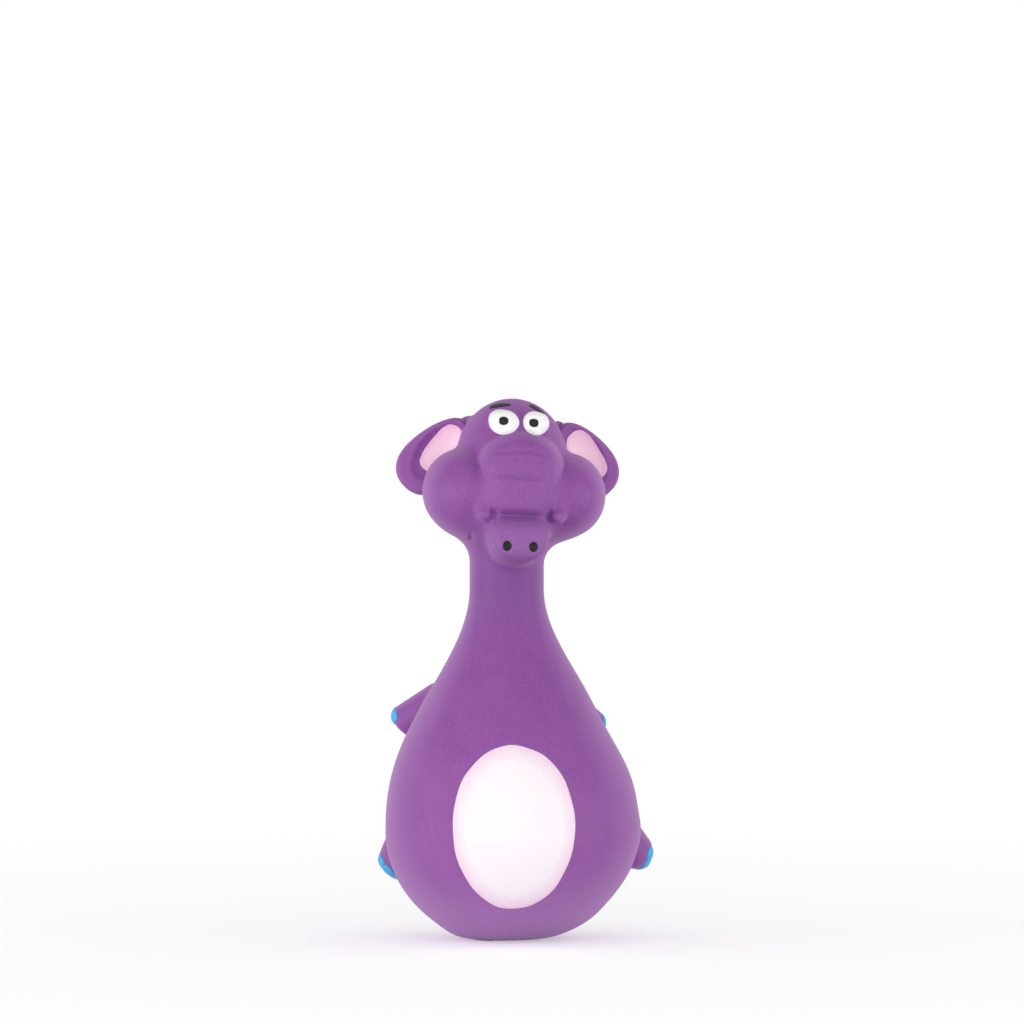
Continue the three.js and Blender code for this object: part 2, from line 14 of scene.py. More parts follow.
import bmesh
import bpy
import numpy as np
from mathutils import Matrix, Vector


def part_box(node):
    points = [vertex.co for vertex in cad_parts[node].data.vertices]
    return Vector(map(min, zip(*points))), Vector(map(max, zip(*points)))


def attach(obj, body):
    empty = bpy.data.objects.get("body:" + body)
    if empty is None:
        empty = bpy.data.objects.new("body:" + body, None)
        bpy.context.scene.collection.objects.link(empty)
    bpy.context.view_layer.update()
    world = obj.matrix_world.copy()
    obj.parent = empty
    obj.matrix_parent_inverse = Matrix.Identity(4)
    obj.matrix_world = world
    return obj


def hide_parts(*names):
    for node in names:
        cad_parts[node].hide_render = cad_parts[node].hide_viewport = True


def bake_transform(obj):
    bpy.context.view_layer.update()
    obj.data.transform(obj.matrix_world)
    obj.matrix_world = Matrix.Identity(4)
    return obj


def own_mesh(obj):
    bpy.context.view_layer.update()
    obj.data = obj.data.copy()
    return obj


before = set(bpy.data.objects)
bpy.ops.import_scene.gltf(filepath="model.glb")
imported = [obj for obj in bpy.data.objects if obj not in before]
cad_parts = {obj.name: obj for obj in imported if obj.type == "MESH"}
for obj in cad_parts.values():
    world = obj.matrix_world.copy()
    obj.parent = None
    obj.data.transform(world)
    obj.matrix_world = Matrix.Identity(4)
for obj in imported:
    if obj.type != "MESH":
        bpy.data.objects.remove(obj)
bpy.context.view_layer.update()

Array = np.ndarray
Vec = tuple[float, float, float]
Piece = bpy.types.Object
Tree = bpy.types.NodeTree
Node = bpy.types.Node
Socket = bpy.types.NodeSocket
# Metres in a millimetre.
MM = 0.001
# Keeps a division from being by nought.
TINY = 1e-6
# A ridge or groove that bends more than this, per millimetre, gets no more painted highlight or shade.
RIDGE_LIMIT = 1.5
# The waves of an uneven painted edge: how many go round, their phase and their share.
EDGE_WAVES = ((3, 0.7, 1.0), (7, 2.1, 0.7), (13, 0.0, 0.5))
# Radians that Blender's wave texture turns by for each unit of its scale.
WAVE_PHASE = 20.0
# How far over its cut the neck is still told from the cheeks, in millimetres.
NECK_SLACK = 2.0
# How near to a cut its new points lie, in metres.
ON_CUT = 1e-7
log = logging.getLogger("elephant")


class Slot(Enum):
    """The record's material slots."""

    LATEX = "purple_latex"
    PINK = "pink_paint"
    BELLY = "belly_paint"
    WHITE = "white_paint"
    BLACK = "black_paint"
    BLUE = "blue_paint"
    PLASTIC = "squeaker_plastic"
    REED = "reed_film"


class Side(Enum):
    """The toy's own sides; its right is towards -X."""

    RIGHT = -1
    LEFT = 1

    @property
    def label(self) -> str:
        """The word that starts the names of this side's pieces."""
        return self.name.lower()


class Body(Enum):
    """The frame's bodies that carry the pieces made here."""

    TORSO = "torso"
    NECK = "neck"
    NAPE = "nape"
    HEAD = "head"


def unit(vector: Sequence[float]) -> Array:
    """The vector at length one."""
    array = np.asarray(vector, float)
    return array / np.linalg.norm(array)


def turned(degrees: float, axis: int) -> Array:
    """A turn about one axis as a matrix.

    Args:
        degrees: How far to turn, anticlockwise seen against the axis.
        axis: 0, 1 or 2 for x, y or z.

    Returns:
        A 3 by 3 matrix that turns column vectors.
    """
    cosine = math.cos(math.radians(degrees))
    sine = math.sin(math.radians(degrees))
    matrix = np.eye(3)
    first, second = (axis + 1) % 3, (axis + 2) % 3
    matrix[first, first] = matrix[second, second] = cosine
    matrix[second, first] = sine
    matrix[first, second] = -sine
    return matrix


def node_box(node: str) -> tuple[Array, Array]:
    """Lowest and highest corner of a CAD node in millimetres."""
    low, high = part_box(node)
    return np.array(low) / MM, np.array(high) / MM


def join(first: Array, second: Array, softness: float | Array) -> Array:
    """Distances to two forms melted together.

    Args:
        first: Distances to one form.
        second: Distances to the other form.
        softness: Width of the fillet between them, in millimetres.

    Returns:
        Distances to both as one form.
    """
    share = np.clip(0.5 + 0.5 * (second - first) / softness, 0.0, 1.0)
    return second + (first - second) * share - softness * share * (1.0 - share)


def egg_distance(offsets: Array, radii: Array) -> Array:
    """Distances to an ellipse or ellipsoid.

    Args:
        offsets: Points from its middle, in its own axes.
        radii: Its half sizes, one row for all points or one for each.

    Returns:
        A distance for each point, below zero inside.
    """
    near = np.abs(offsets) + TINY
    first = np.sqrt(np.sum((near / radii) ** 2, axis=1))
    second = np.sqrt(np.sum((near / radii**2) ** 2, axis=1))
    return first * (first - 1.0) / second


class Form(ABC):
    """A closed form, known by how far outside it a point lies, in millimetres."""

    probe = 0.02
    flattest = 0.05
    ray_steps = 160
    ray_halvings = 18

    @abstractmethod
    def distance(self, at: Array) -> Array:
        """Distance of each point, below zero inside."""

    def slope(self, at: Array) -> Array:
        """How fast the distance grows in each direction, at each point."""
        slopes = np.empty_like(at)
        for axis in range(3):
            shift = np.zeros(3)
            shift[axis] = self.probe
            slopes[:, axis] = self.distance(at + shift) - self.distance(at - shift)
        return slopes / (2.0 * self.probe)

    def outward(self, at: Array) -> Array:
        """Unit directions straight out of the form."""
        slopes = self.slope(at)
        return slopes / np.maximum(np.linalg.norm(slopes, axis=1, keepdims=True), TINY)

    def settle(self, at: Array, rounds: int = 3) -> Array:
        """Points near the surface, moved on to it.

        Args:
            at: Points near the surface.
            rounds: How often to move them.

        Returns:
            The moved points.
        """
        for _ in range(rounds):
            slopes = self.slope(at)
            steep = np.maximum(np.sum(slopes**2, axis=1), self.flattest)
            at = at - slopes * (self.distance(at) / steep)[:, None]
        return at

    def ridge(self, at: Array, reach: float = 0.9) -> Array:
        """How convex the surface is: above zero on ridges, below zero in grooves, per millimetre."""
        total = -6.0 * self.distance(at)
        for axis in range(3):
            shift = np.zeros(3)
            shift[axis] = reach
            total += self.distance(at + shift) + self.distance(at - shift)
        return total / reach**2

    def meet(self, start: Array, direction: Array, reach: float) -> Array:
        """First points where rays enter the form.

        Args:
            start: Where the rays begin, outside the form.
            direction: The way they all go.
            reach: How far they go.

        Returns:
            A point on the surface for each ray; a ray that misses gives its nearest point.
        """
        steps = np.linspace(0.0, reach, self.ray_steps)
        low = np.zeros(len(start))
        found = np.zeros(len(start), bool)
        nearest = np.full(len(start), np.inf)
        closest = np.zeros(len(start))
        for before, after in zip(steps[:-1], steps[1:]):
            gap = self.distance(start + after * direction)
            entered = (gap < 0.0) & ~found
            low[entered] = before
            found |= entered
            nearer = gap < nearest
            closest[nearer & ~found] = after
            nearest = np.minimum(nearest, gap)
        high = low + (steps[1] - steps[0])
        for _ in range(self.ray_halvings):
            middle = (low + high) / 2.0
            inside = self.distance(start + middle[:, None] * direction) < 0.0
            high = np.where(inside, middle, high)
            low = np.where(inside, low, middle)
        travel = np.where(found, high, closest)
        return start + travel[:, None] * direction


@dataclass(frozen=True)
class Egg(Form):
    """An ellipsoid."""

    centre: Vec
    radii: Vec
    axes: Array = field(default_factory=lambda: np.eye(3))

    def distance(self, at: Array) -> Array:
        """Distance of each point, below zero inside."""
        return egg_distance((at - np.array(self.centre)) @ self.axes, np.array([self.radii]))

    def on_side(self, side: Side) -> "Egg":
        """The egg of the left side as it lies on either side."""
        x, y, z = self.centre
        return replace(self, centre=(side.value * x, y, z))


@dataclass(frozen=True)
class RoundCone(Form):
    """A straight stub with round ends of two radii."""

    start: Vec
    end: Vec
    start_radius: float
    end_radius: float

    def distance(self, at: Array) -> Array:
        """Distance of each point, below zero inside."""
        start = np.array(self.start)
        run = np.array(self.end) - start
        share = np.clip((at - start) @ run / (run @ run), 0.0, 1.0)
        spread = np.linalg.norm(at - start - share[:, None] * run, axis=1)
        return spread - (self.start_radius + share * (self.end_radius - self.start_radius))


@dataclass(frozen=True)
class Block(Form):
    """A block with round edges."""

    centre: Vec
    half: Vec
    rounding: float
    axes: Array = field(default_factory=lambda: np.eye(3))

    def distance(self, at: Array) -> Array:
        """Distance of each point, below zero inside."""
        offsets = np.abs((at - np.array(self.centre)) @ self.axes)
        past = offsets - (np.array(self.half) - self.rounding)
        outside = np.linalg.norm(np.maximum(past, 0.0), axis=1)
        return outside + np.minimum(np.max(past, axis=1), 0.0) - self.rounding


@dataclass(frozen=True)
class HalfSpace(Form):
    """Everything on the far side of a plane."""

    on: Vec
    away: Vec

    def distance(self, at: Array) -> Array:
        """Distance of each point, below zero behind the plane."""
        return (np.array(self.on) - at) @ unit(self.away)


@dataclass(frozen=True)
class Pit(Form):
    """An upright round pocket, from below the floor up to a height."""

    radius: float
    top: float

    def distance(self, at: Array) -> Array:
        """Distance of each point, below zero inside."""
        return np.maximum(np.hypot(at[:, 0], at[:, 1]) - self.radius, at[:, 2] - self.top)


@dataclass(frozen=True)
class Dimple:
    """A soft hollow pressed straight in from the front, long or round."""

    x: float
    z: float
    half_width: float
    half_height: float
    depth: float
    bow: float = 0.0
    behind: float = 0.0

    def depth_at(self, at: Array) -> Array:
        """How deep the hollow is at each point."""
        across = (at[:, 0] - self.x) / self.half_width
        height = at[:, 2] - self.z + self.bow * across**2
        fade = np.exp(-(across**4) - (height / self.half_height) ** 2)
        return self.depth * fade * (at[:, 1] < self.behind)


@dataclass(frozen=True)
class Layer:
    """One form in a moulding: added with a fillet, or cut out with a rounded lip.

    The first form of a moulding has nothing to melt into, so it needs no softness.
    """

    form: Form
    softness: float = 0.0
    cut: bool = False
    foot: Vec | None = None

    def fillet(self, at: Array) -> float | Array:
        """Width of the fillet at each point: with a foot, it widens from one height down to another."""
        if self.foot is None:
            return self.softness
        wide, low, high = self.foot
        share = np.clip((at[:, 2] - low) / (high - low), 0.0, 1.0)
        return wide + (self.softness - wide) * share


@dataclass(frozen=True)
class Moulding(Form):
    """Forms melted together in order, with dimples pressed in."""

    layers: Sequence[Layer]
    dimples: Sequence[Dimple] = ()

    def distance(self, at: Array) -> Array:
        """Distance of each point, below zero inside."""
        total = self.layers[0].form.distance(at)
        for layer in self.layers[1:]:
            reach = layer.form.distance(at)
            if layer.cut:
                total = -join(-total, reach, layer.fillet(at))
            else:
                total = join(total, reach, layer.fillet(at))
        for dimple in self.dimples:
            total = total + dimple.depth_at(at)
        return total


@dataclass(frozen=True)
class Placed(Form):
    """A form made in its own axes and set down elsewhere."""

    form: Form
    origin: Vec
    axes: Array
    pivot: Vec = (0.0, 0.0, 0.0)

    def distance(self, at: Array) -> Array:
        """Distance of each point, below zero inside."""
        return self.form.distance((at - np.array(self.origin)) @ self.axes + np.array(self.pivot))

    def outside(self, own: Sequence[float]) -> Array:
        """A point, or rows of points, of the form's own axes as points of the toy."""
        return (np.asarray(own, float) - np.array(self.pivot)) @ self.axes.T + np.array(self.origin)


@dataclass(frozen=True)
class Pear(Form):
    """The body: an oval bowl up to the belly, then a soft S up to a straight neck."""

    half_width: float
    half_depth: float
    neck_radius: float
    lean: float
    belly: float = 26.5
    base_half: float = 10.0
    waist: float = 86.0
    shoulder: float = 1.2
    top: float = 112.0
    base_edge: float = 1.6
    left_trims: tuple[Vec, ...] = ((51.5, 9.5, -1.45), (9.0, 6.5, -0.9), (26.5, 4.5, 0.6))
    base_drift: float = -1.9
    drift_height: float = 6.0
    step: float = 0.05

    def share(self, z: Array) -> Array:
        """Share of the belly's girth at each height."""
        drop = self.belly / math.sqrt(1.0 - (self.base_half / self.half_width) ** 2)
        bowl = np.sqrt(np.maximum(1.0 - ((self.belly - z) / drop) ** 2, 0.0))
        climb = np.clip((z - self.belly) / (self.waist - self.belly), 0.0, 1.0)
        return np.where(z < self.belly, bowl, (1.0 + np.cos(math.pi * climb**self.shoulder)) / 2.0)

    def radii(self, z: Array) -> Array:
        """Half width and half depth at each height."""
        slim = np.where(z < self.belly, 0.0, self.neck_radius)
        share = self.share(z)
        return np.stack([slim + (self.half_width - slim) * share, slim + (self.half_depth - slim) * share], 1)

    def axis(self, z: Array) -> Array:
        """Sideways place of the middle at each height."""
        drift = self.base_drift * np.maximum(1.0 - z / self.drift_height, 0.0) ** 2
        return np.where(z < self.belly, drift, self.lean * (1.0 - self.share(z)))

    def distance(self, at: Array) -> Array:
        """Distance of each point, below zero inside."""
        z = np.clip(at[:, 2], 0.0, self.top)
        offsets = np.stack([at[:, 0] - self.axis(z), at[:, 1]], 1)
        above = self.radii(z + self.step)[:, 0]
        below = self.radii(np.maximum(z - self.step, 0.0))[:, 0]
        rise = (above - below) / (2.0 * self.step)
        girth = self.radii(z)
        leftness = np.clip(offsets[:, 0] / girth[:, 0], 0.0, 1.0)
        for height, spread, amount in self.left_trims:
            girth = girth + (amount * leftness * np.exp(-(((z - height) / spread) ** 2)))[:, None]
        side = egg_distance(offsets, girth) / np.sqrt(1.0 + rise**2)
        standing = -join(-side, at[:, 2], self.base_edge)
        return np.maximum(standing, at[:, 2] - self.top)


@dataclass(frozen=True)
class EarFlap(Form):
    """A fan-shaped ear in its own axes: x to the tip, y up, z to the front, with a dish in its front."""

    half_length: float = 11.1
    half_height: float = 6.6
    fan: float = 0.3
    squareness: float = 2.2
    half_thickness: float = 1.9
    rounding: float = 1.8
    dish_middle: tuple[float, float] = (-1.7, -0.6)
    dish_half: Vec = (8.3, 4.7, 2.1)
    curl: float = 0.004
    curl_start: float = -4.0
    lip: float = 1.4

    def distance(self, at: Array) -> Array:
        """Distance of each point, below zero inside."""
        along = np.clip(at[:, 0] / self.half_length, -1.0, 1.0)
        plane = np.abs(np.stack([at[:, 0], at[:, 1] / (1.0 + self.fan * along)], 1)) + TINY
        half = np.array([[self.half_length, self.half_height]])
        power = self.squareness
        reach = np.sum((plane / half) ** power, axis=1) ** (1.0 / power)
        steep = np.linalg.norm((plane / half) ** (power - 1.0) / half, axis=1) * reach ** (1.0 - power)
        edge = (reach - 1.0) / steep + self.rounding
        height = at[:, 2] - self.curl * np.maximum(at[:, 0] - self.curl_start, 0.0) ** 2
        face = np.abs(height) - (self.half_thickness - self.rounding)
        past = np.hypot(np.maximum(edge, 0.0), np.maximum(face, 0.0))
        plate = past + np.minimum(np.maximum(edge, face), 0.0) - self.rounding
        middle = np.array([*self.dish_middle, self.half_thickness])
        flat = np.stack([at[:, 0], at[:, 1], height], 1)
        dish = egg_distance(flat - middle, np.array([self.dish_half]))
        return -join(-plate, dish, self.lip)


@dataclass(frozen=True)
class Net:
    """Wraps a form in four-sided faces, with one point in each grid cell that the surface crosses."""

    cell: float

    def wrap(self, form: Form, low: Sequence[float], high: Sequence[float]) -> tuple[Array, Array]:
        """The form's surface inside a box.

        Args:
            form: What to wrap.
            low: Lowest corner of the box.
            high: Highest corner of the box.

        Returns:
            Points, and four point numbers for each face, which turns outwards.
        """
        lines = [np.arange(a, b + self.cell, self.cell) for a, b in zip(low, high)]
        values = self.sample(form, lines)
        inside = values < 0.0
        cell_counts = [n - 1 for n in values.shape]
        count = np.zeros(cell_counts, np.int8)
        corners = [(i, j, k) for i in (0, 1) for j in (0, 1) for k in (0, 1)]
        for corner in corners:
            count += inside[tuple(slice(c, c + n) for c, n in zip(corner, cell_counts))]
        cells = np.argwhere((count > 0) & (count < len(corners)))
        points = self.crossings(values, cells) * self.cell + np.array([line[0] for line in lines])
        number = np.full(count.shape, -1, np.int64)
        number[tuple(cells.T)] = np.arange(len(cells))
        return form.settle(points), self.faces(inside, number)

    def sample(self, form: Form, lines: Sequence[Array]) -> Array:
        """The form's distance at every grid point, one slab at a time."""
        across, up = np.meshgrid(lines[1], lines[2], indexing="ij")
        slab = np.stack([np.zeros(across.size), across.ravel(), up.ravel()], 1)
        values = np.empty([len(line) for line in lines])
        for i, x in enumerate(lines[0]):
            slab[:, 0] = x
            values[i] = form.distance(slab).reshape(across.shape)
        return values

    @staticmethod
    def crossings(values: Array, cells: Array) -> Array:
        """Mean of the places where the surface crosses each cell's edges, in grid steps."""
        total = np.zeros((len(cells), 3))
        hits = np.zeros(len(cells))
        for axis in range(3):
            step = np.eye(3, dtype=int)[axis]
            others = [np.eye(3, dtype=int)[a] for a in range(3) if a != axis]
            for corner in (0 * step, others[0], others[1], others[0] + others[1]):
                start = cells + corner
                first = values[tuple(start.T)]
                second = values[tuple((start + step).T)]
                crossed = (first < 0.0) != (second < 0.0)
                gap = np.where(crossed, first - second, 1.0)
                place = start + step * (first / gap)[:, None]
                total += np.where(crossed[:, None], place, 0.0)
                hits += crossed
        return total / hits[:, None]

    @staticmethod
    def faces(inside: Array, number: Array) -> Array:
        """A face across each grid edge that the surface crosses."""
        made = []
        for axis in range(3):
            near = np.take(inside, range(inside.shape[axis] - 1), axis)
            far = np.take(inside, range(1, inside.shape[axis]), axis)
            at = np.argwhere(near != far)
            first, second = (axis + 1) % 3, (axis + 2) % 3
            within = (at[:, first] > 0) & (at[:, second] > 0)
            within &= (at[:, first] < inside.shape[first] - 1) & (at[:, second] < inside.shape[second] - 1)
            at = at[within]
            back_first = np.eye(3, dtype=int)[first]
            back_second = np.eye(3, dtype=int)[second]
            around = [at - back_first - back_second, at - back_second, at, at - back_first]
            quads = np.stack([number[tuple(c.T)] for c in around], 1)
            leaving = near[tuple(at.T)]
            made.append(np.where(leaving[:, None], quads, quads[:, ::-1]))
        return np.concatenate(made)


def linear(hex_colour: str) -> tuple[float, float, float, float]:
    """An sRGB hex colour as linear red, green, blue and full alpha."""
    parts = [int(hex_colour[i : i + 2], 16) / 255.0 for i in (1, 3, 5)]
    made = [p / 12.92 if p <= 0.04045 else ((p + 0.055) / 1.055) ** 2.4 for p in parts]
    return (made[0], made[1], made[2], 1.0)


def per_metre(size_mm: float) -> float:
    """A pattern's scale from the real size of its grain."""
    return 1.0 / (size_mm * MM)


def add_node(
    tree: Tree, kind: str, settings: dict | None = None, inputs: dict | None = None
) -> Node:
    """Adds one node.

    Args:
        tree: The tree to add it to.
        kind: Blender's name for its kind, after the words ShaderNode.
        settings: Its own settings by name.
        inputs: A value, or an output to link, for inputs by name or number.

    Returns:
        The new node.
    """
    node = tree.nodes.new(f"ShaderNode{kind}")
    for name, value in (settings or {}).items():
        setattr(node, name, value)
    for name, value in (inputs or {}).items():
        if isinstance(value, Socket):
            tree.links.new(value, node.inputs[name])
        else:
            node.inputs[name].default_value = value
    return node


@dataclass(frozen=True)
class Ramp:
    """How a value is mapped: from one value up to another, it gives a least and then a most."""

    start: float = 0.0
    full: float = 1.0
    least: float = 0.0
    most: float = 1.0

    def inputs(self, value: Socket) -> dict:
        """What a mapping node is given."""
        ends = {"From Min": self.start, "From Max": self.full, "To Min": self.least, "To Max": self.most}
        return {"Value": value, **ends}


@dataclass(frozen=True)
class Pattern:
    """A noise pattern, with the real size of its blotches."""

    size_mm: float
    detail: float = 2.0
    roughness: float = 0.5
    distortion: float = 0.0

    def inputs(self, place: Socket) -> dict:
        """What a noise node is given."""
        look = {"Detail": self.detail, "Roughness": self.roughness, "Distortion": self.distortion}
        return {"Vector": place, "Scale": per_metre(self.size_mm), **look}


@dataclass(frozen=True)
class Relief:
    """How strongly and how deep a pattern stands out."""

    strength: float
    depth_mm: float

    def inputs(self, height: Socket) -> dict:
        """What a bump node is given."""
        return {"Strength": self.strength, "Distance": self.depth_mm * MM, "Height": height}


@dataclass(frozen=True)
class Finish(ABC):
    """What a surface is made of; its title says what it is and how it was made."""

    slot: Slot | None
    title: str
    roughness: float = 0.42
    swing: float = 0.08
    ior: float = 1.5
    specular: float = 0.5

    def material(self) -> bpy.types.Material:
        """The finish as a material, made once and then shared."""
        made = bpy.data.materials.get(self.title)
        if made is None:
            made = bpy.data.materials.new(self.title)
            made.use_nodes = True
            made.node_tree.nodes.clear()
            shader = self.shade(made.node_tree)
            add_node(made.node_tree, "OutputMaterial", inputs={"Surface": shader.outputs[0]})
        return made

    @abstractmethod
    def shade(self, tree: Tree) -> Node:
        """Adds the finish's nodes and returns its shader."""

    def surface(
        self,
        tree: Tree,
        tints: Sequence[tuple[Socket | None, str]],
        pattern: Socket,
        relief: Node | None = None,
    ) -> Node:
        """The shader at the end of a finish.

        Args:
            tree: The material's tree.
            tints: The ground colour, then shares and colours that are laid over it in order.
            pattern: What the roughness follows, as it swings about its middle value.
            relief: The bumps, if there are any.

        Returns:
            The shader's node.
        """
        colour = linear(tints[0][1])
        for share, tint in tints[1:]:
            inputs = {"Factor": share, 6: colour, 7: linear(tint)}
            colour = add_node(tree, "Mix", {"data_type": "RGBA"}, inputs).outputs[2]
        gloss = Ramp(least=self.roughness - self.swing, most=self.roughness + self.swing)
        rough = add_node(tree, "MapRange", inputs=gloss.inputs(pattern)).outputs[0]
        inputs = {"Base Color": colour, "Roughness": rough}
        inputs |= {"IOR": self.ior, "Specular IOR Level": self.specular}
        if relief is not None:
            inputs["Normal"] = relief.outputs[0]
        return add_node(tree, "BsdfPrincipled", inputs=inputs)


@dataclass(frozen=True)
class MouldedLatex(Finish):
    """Slush-moulded natural latex, dyed through.

    It is matt and faintly mottled. Shade is painted darker round the neck, under the head, and in grooves,
    and highlights are painted paler on ridges. It is painted paler towards the base as light from below,
    and its trunk's end is paler. A painted sheen pales it where the eye glances along it, less so on the
    trunk's end and the crown.
    """

    roughness: float = 0.6
    swing: float = 0.1
    ior: float = 1.52
    colour: str = "#8C469B"
    cloud_colour: str = "#854093"
    # Painted highlight on ridges; also the colour of the dye's random flecks.
    fleck_and_highlight_colour: str = "#9E66AC"
    # Painted shade, in grooves and round the neck under the head.
    painted_shade_colour: str = "#683580"
    # Paler latex: painted light from below towards the base, and the trunk's paler end.
    pale_colour: str = "#B383C0"
    # Painted sheen where the eye glances along the surface.
    painted_sheen_colour: str = "#B98BC5"
    patterns: tuple[Pattern, ...] = (Pattern(9.0, 3.0, 0.55), Pattern(0.6, 4.0, 0.7), Pattern(0.45))
    clouds: Ramp = Ramp(0.35, 0.65)
    flecks: Ramp = Ramp(0.45, 0.8, most=0.5)
    # How much highlight is painted on ridges.
    ridges: Ramp = Ramp(0.12, 0.8, most=0.1)
    # How much shade is painted in grooves.
    grooves: Ramp = Ramp(-0.15, -1.0, most=0.6)
    glances: Ramp = Ramp(0.3, 0.9)
    grain_relief: Relief = Relief(0.22, 0.06)
    cloud_relief: Relief = Relief(0.35, 0.25)
    # Where and how strongly shade is painted round the neck, under the head.
    neck_rise: float = 88.0
    neck_spread: float = 11.0
    neck_shade_strength: float = 0.5
    # How far up and how strongly light from below is painted over the base.
    base_spread: float = 14.0
    base_thin: float = 0.7
    # Where the trunk's end lies: it is paler there, and has less painted sheen.
    trunk_rise: float = 96.0
    trunk_spread: float = 8.0
    trunk_front: float = -12.0
    trunk_pale: float = 0.17
    trunk_sheen_cut: float = 0.8
    # Where the crown lies: it has less painted sheen there.
    crown_rise: float = 121.0
    crown_edge: float = 2.0
    crown_sheen_cut: float = 0.5
    # How strong the painted sheen is.
    painted_sheen_most: float = 0.62

    def shares(self, points: Array) -> dict[str, Array]:
        """How much painted shade, paling and painted sheen there is at points of the toy.

        Args:
            points: Points in millimetres.

        Returns:
            A share for each point, by the name that the nodes read.
        """
        depth, height = points[:, 1], points[:, 2]
        # Painted shade round the neck, under the head.
        neck = np.exp(-(((height - self.neck_rise) / self.neck_spread) ** 2))
        # Painted light from below, paler towards the base.
        base = np.exp(-((height / self.base_spread) ** 2))
        level = np.exp(-(((height - self.trunk_rise) / self.trunk_spread) ** 2))
        trunk = level / (1.0 + np.exp(depth - self.trunk_front))
        crown = 1.0 / (1.0 + np.exp((self.crown_rise - height) / self.crown_edge))
        # Less painted sheen on the trunk's end and the crown.
        sheen_cut = np.clip(self.trunk_sheen_cut * trunk + self.crown_sheen_cut * crown, 0.0, 1.0)
        return {
            "neck_shade": self.neck_shade_strength * neck,
            # The share named thin is painted light towards the base, plus the trunk's paler end.
            "thin": self.base_thin * base + self.trunk_pale * trunk,
            "bloom": self.painted_sheen_most * (1.0 - sheen_cut),
        }

    def shade(self, tree: Tree) -> Node:
        """Dye clouds and flecks, painted highlights and shade, paler base as painted light, painted sheen,
        fine grain.
        """
        place = add_node(tree, "TexCoord").outputs["Object"]
        noises = [add_node(tree, "TexNoise", inputs=pattern.inputs(place)) for pattern in self.patterns]
        cloud, mottle, grain = [noise.outputs["Fac"] for noise in noises]
        names = ("ridge", "neck_shade", "thin", "bloom")
        stored = [add_node(tree, "Attribute", {"attribute_name": name}) for name in names]
        ridge, neck_shade, thin, bloom = [attribute.outputs["Fac"] for attribute in stored]
        # The painted sheen grows as the view glances along the surface.
        facing = add_node(tree, "LayerWeight").outputs["Facing"]
        maps = (
            self.clouds.inputs(cloud),
            self.flecks.inputs(mottle),
            self.ridges.inputs(ridge),
            self.grooves.inputs(ridge),
            {**self.glances.inputs(facing), "To Max": bloom},
        )
        mapped = [add_node(tree, "MapRange", inputs=inputs).outputs[0] for inputs in maps]
        tints = (
            (None, self.colour),
            (mapped[0], self.cloud_colour),
            (mapped[1], self.fleck_and_highlight_colour),
            # painted highlight on ridges
            (mapped[2], self.fleck_and_highlight_colour),
            # painted shade in grooves
            (mapped[3], self.painted_shade_colour),
            # painted shade round the neck
            (neck_shade, self.painted_shade_colour),
            # painted light towards the base, and the trunk's paler end
            (thin, self.pale_colour),
            # painted sheen where the eye glances
            (mapped[4], self.painted_sheen_colour),
        )
        fine = add_node(tree, "Bump", inputs=self.grain_relief.inputs(grain))
        inputs = {**self.cloud_relief.inputs(cloud), "Normal": fine.outputs[0]}
        return self.surface(tree, tints, mottle, add_node(tree, "Bump", inputs=inputs))


@dataclass(frozen=True)
class BrushedPaint(Finish):
    """Latex paint put on by hand: satin, with faint brush drags, and thin at its edge."""

    ior: float = 1.48
    colour: str = "#FFFFFF"
    edge_colour: str = "#FFFFFF"
    drags: Pattern = Pattern(0.7, 3.0)
    drag_stretch: Vec = (1.0, 1.0, 0.2)
    edge_stray: float = 0.16
    edge: Ramp = Ramp(0.86, 1.12)
    relief: Relief = Relief(0.15, 0.05)

    def shade(self, tree: Tree) -> Node:
        """Colour that thins at its edge, where the dye shows, over brush drags that run up and down."""
        place = add_node(tree, "TexCoord").outputs["Object"]
        drawn = add_node(tree, "Mapping", inputs={"Vector": place, "Scale": self.drag_stretch}).outputs[0]
        drags = add_node(tree, "TexNoise", inputs=self.drags.inputs(drawn)).outputs["Fac"]
        rim = add_node(tree, "Attribute", {"attribute_name": "rim"}).outputs["Fac"]
        inputs = {0: drags, 1: self.edge_stray, 2: rim}
        uneven = add_node(tree, "Math", {"operation": "MULTIPLY_ADD"}, inputs).outputs[0]
        thin = add_node(tree, "MapRange", inputs=self.edge.inputs(uneven)).outputs[0]
        bumps = add_node(tree, "Bump", inputs=self.relief.inputs(drags))
        return self.surface(tree, ((None, self.colour), (thin, self.edge_colour)), drags, bumps)


@dataclass(frozen=True)
class MouldedPlastic(Finish):
    """Injection-moulded polythene: waxy white with faint flow lines."""

    swing: float = 0.1
    ior: float = 1.51
    colour: str = "#E9E7DF"
    flow_colour: str = "#DAD7CB"
    flow: Pattern = Pattern(2.5, 3.0, distortion=0.8)
    relief: Relief = Relief(0.2, 0.05)

    def shade(self, tree: Tree) -> Node:
        """Flow lines from the gate in colour, gloss and height."""
        place = add_node(tree, "TexCoord").outputs["Object"]
        flow = add_node(tree, "TexNoise", inputs=self.flow.inputs(place)).outputs["Fac"]
        bumps = add_node(tree, "Bump", inputs=self.relief.inputs(flow))
        return self.surface(tree, ((None, self.colour), (flow, self.flow_colour)), flow, bumps)


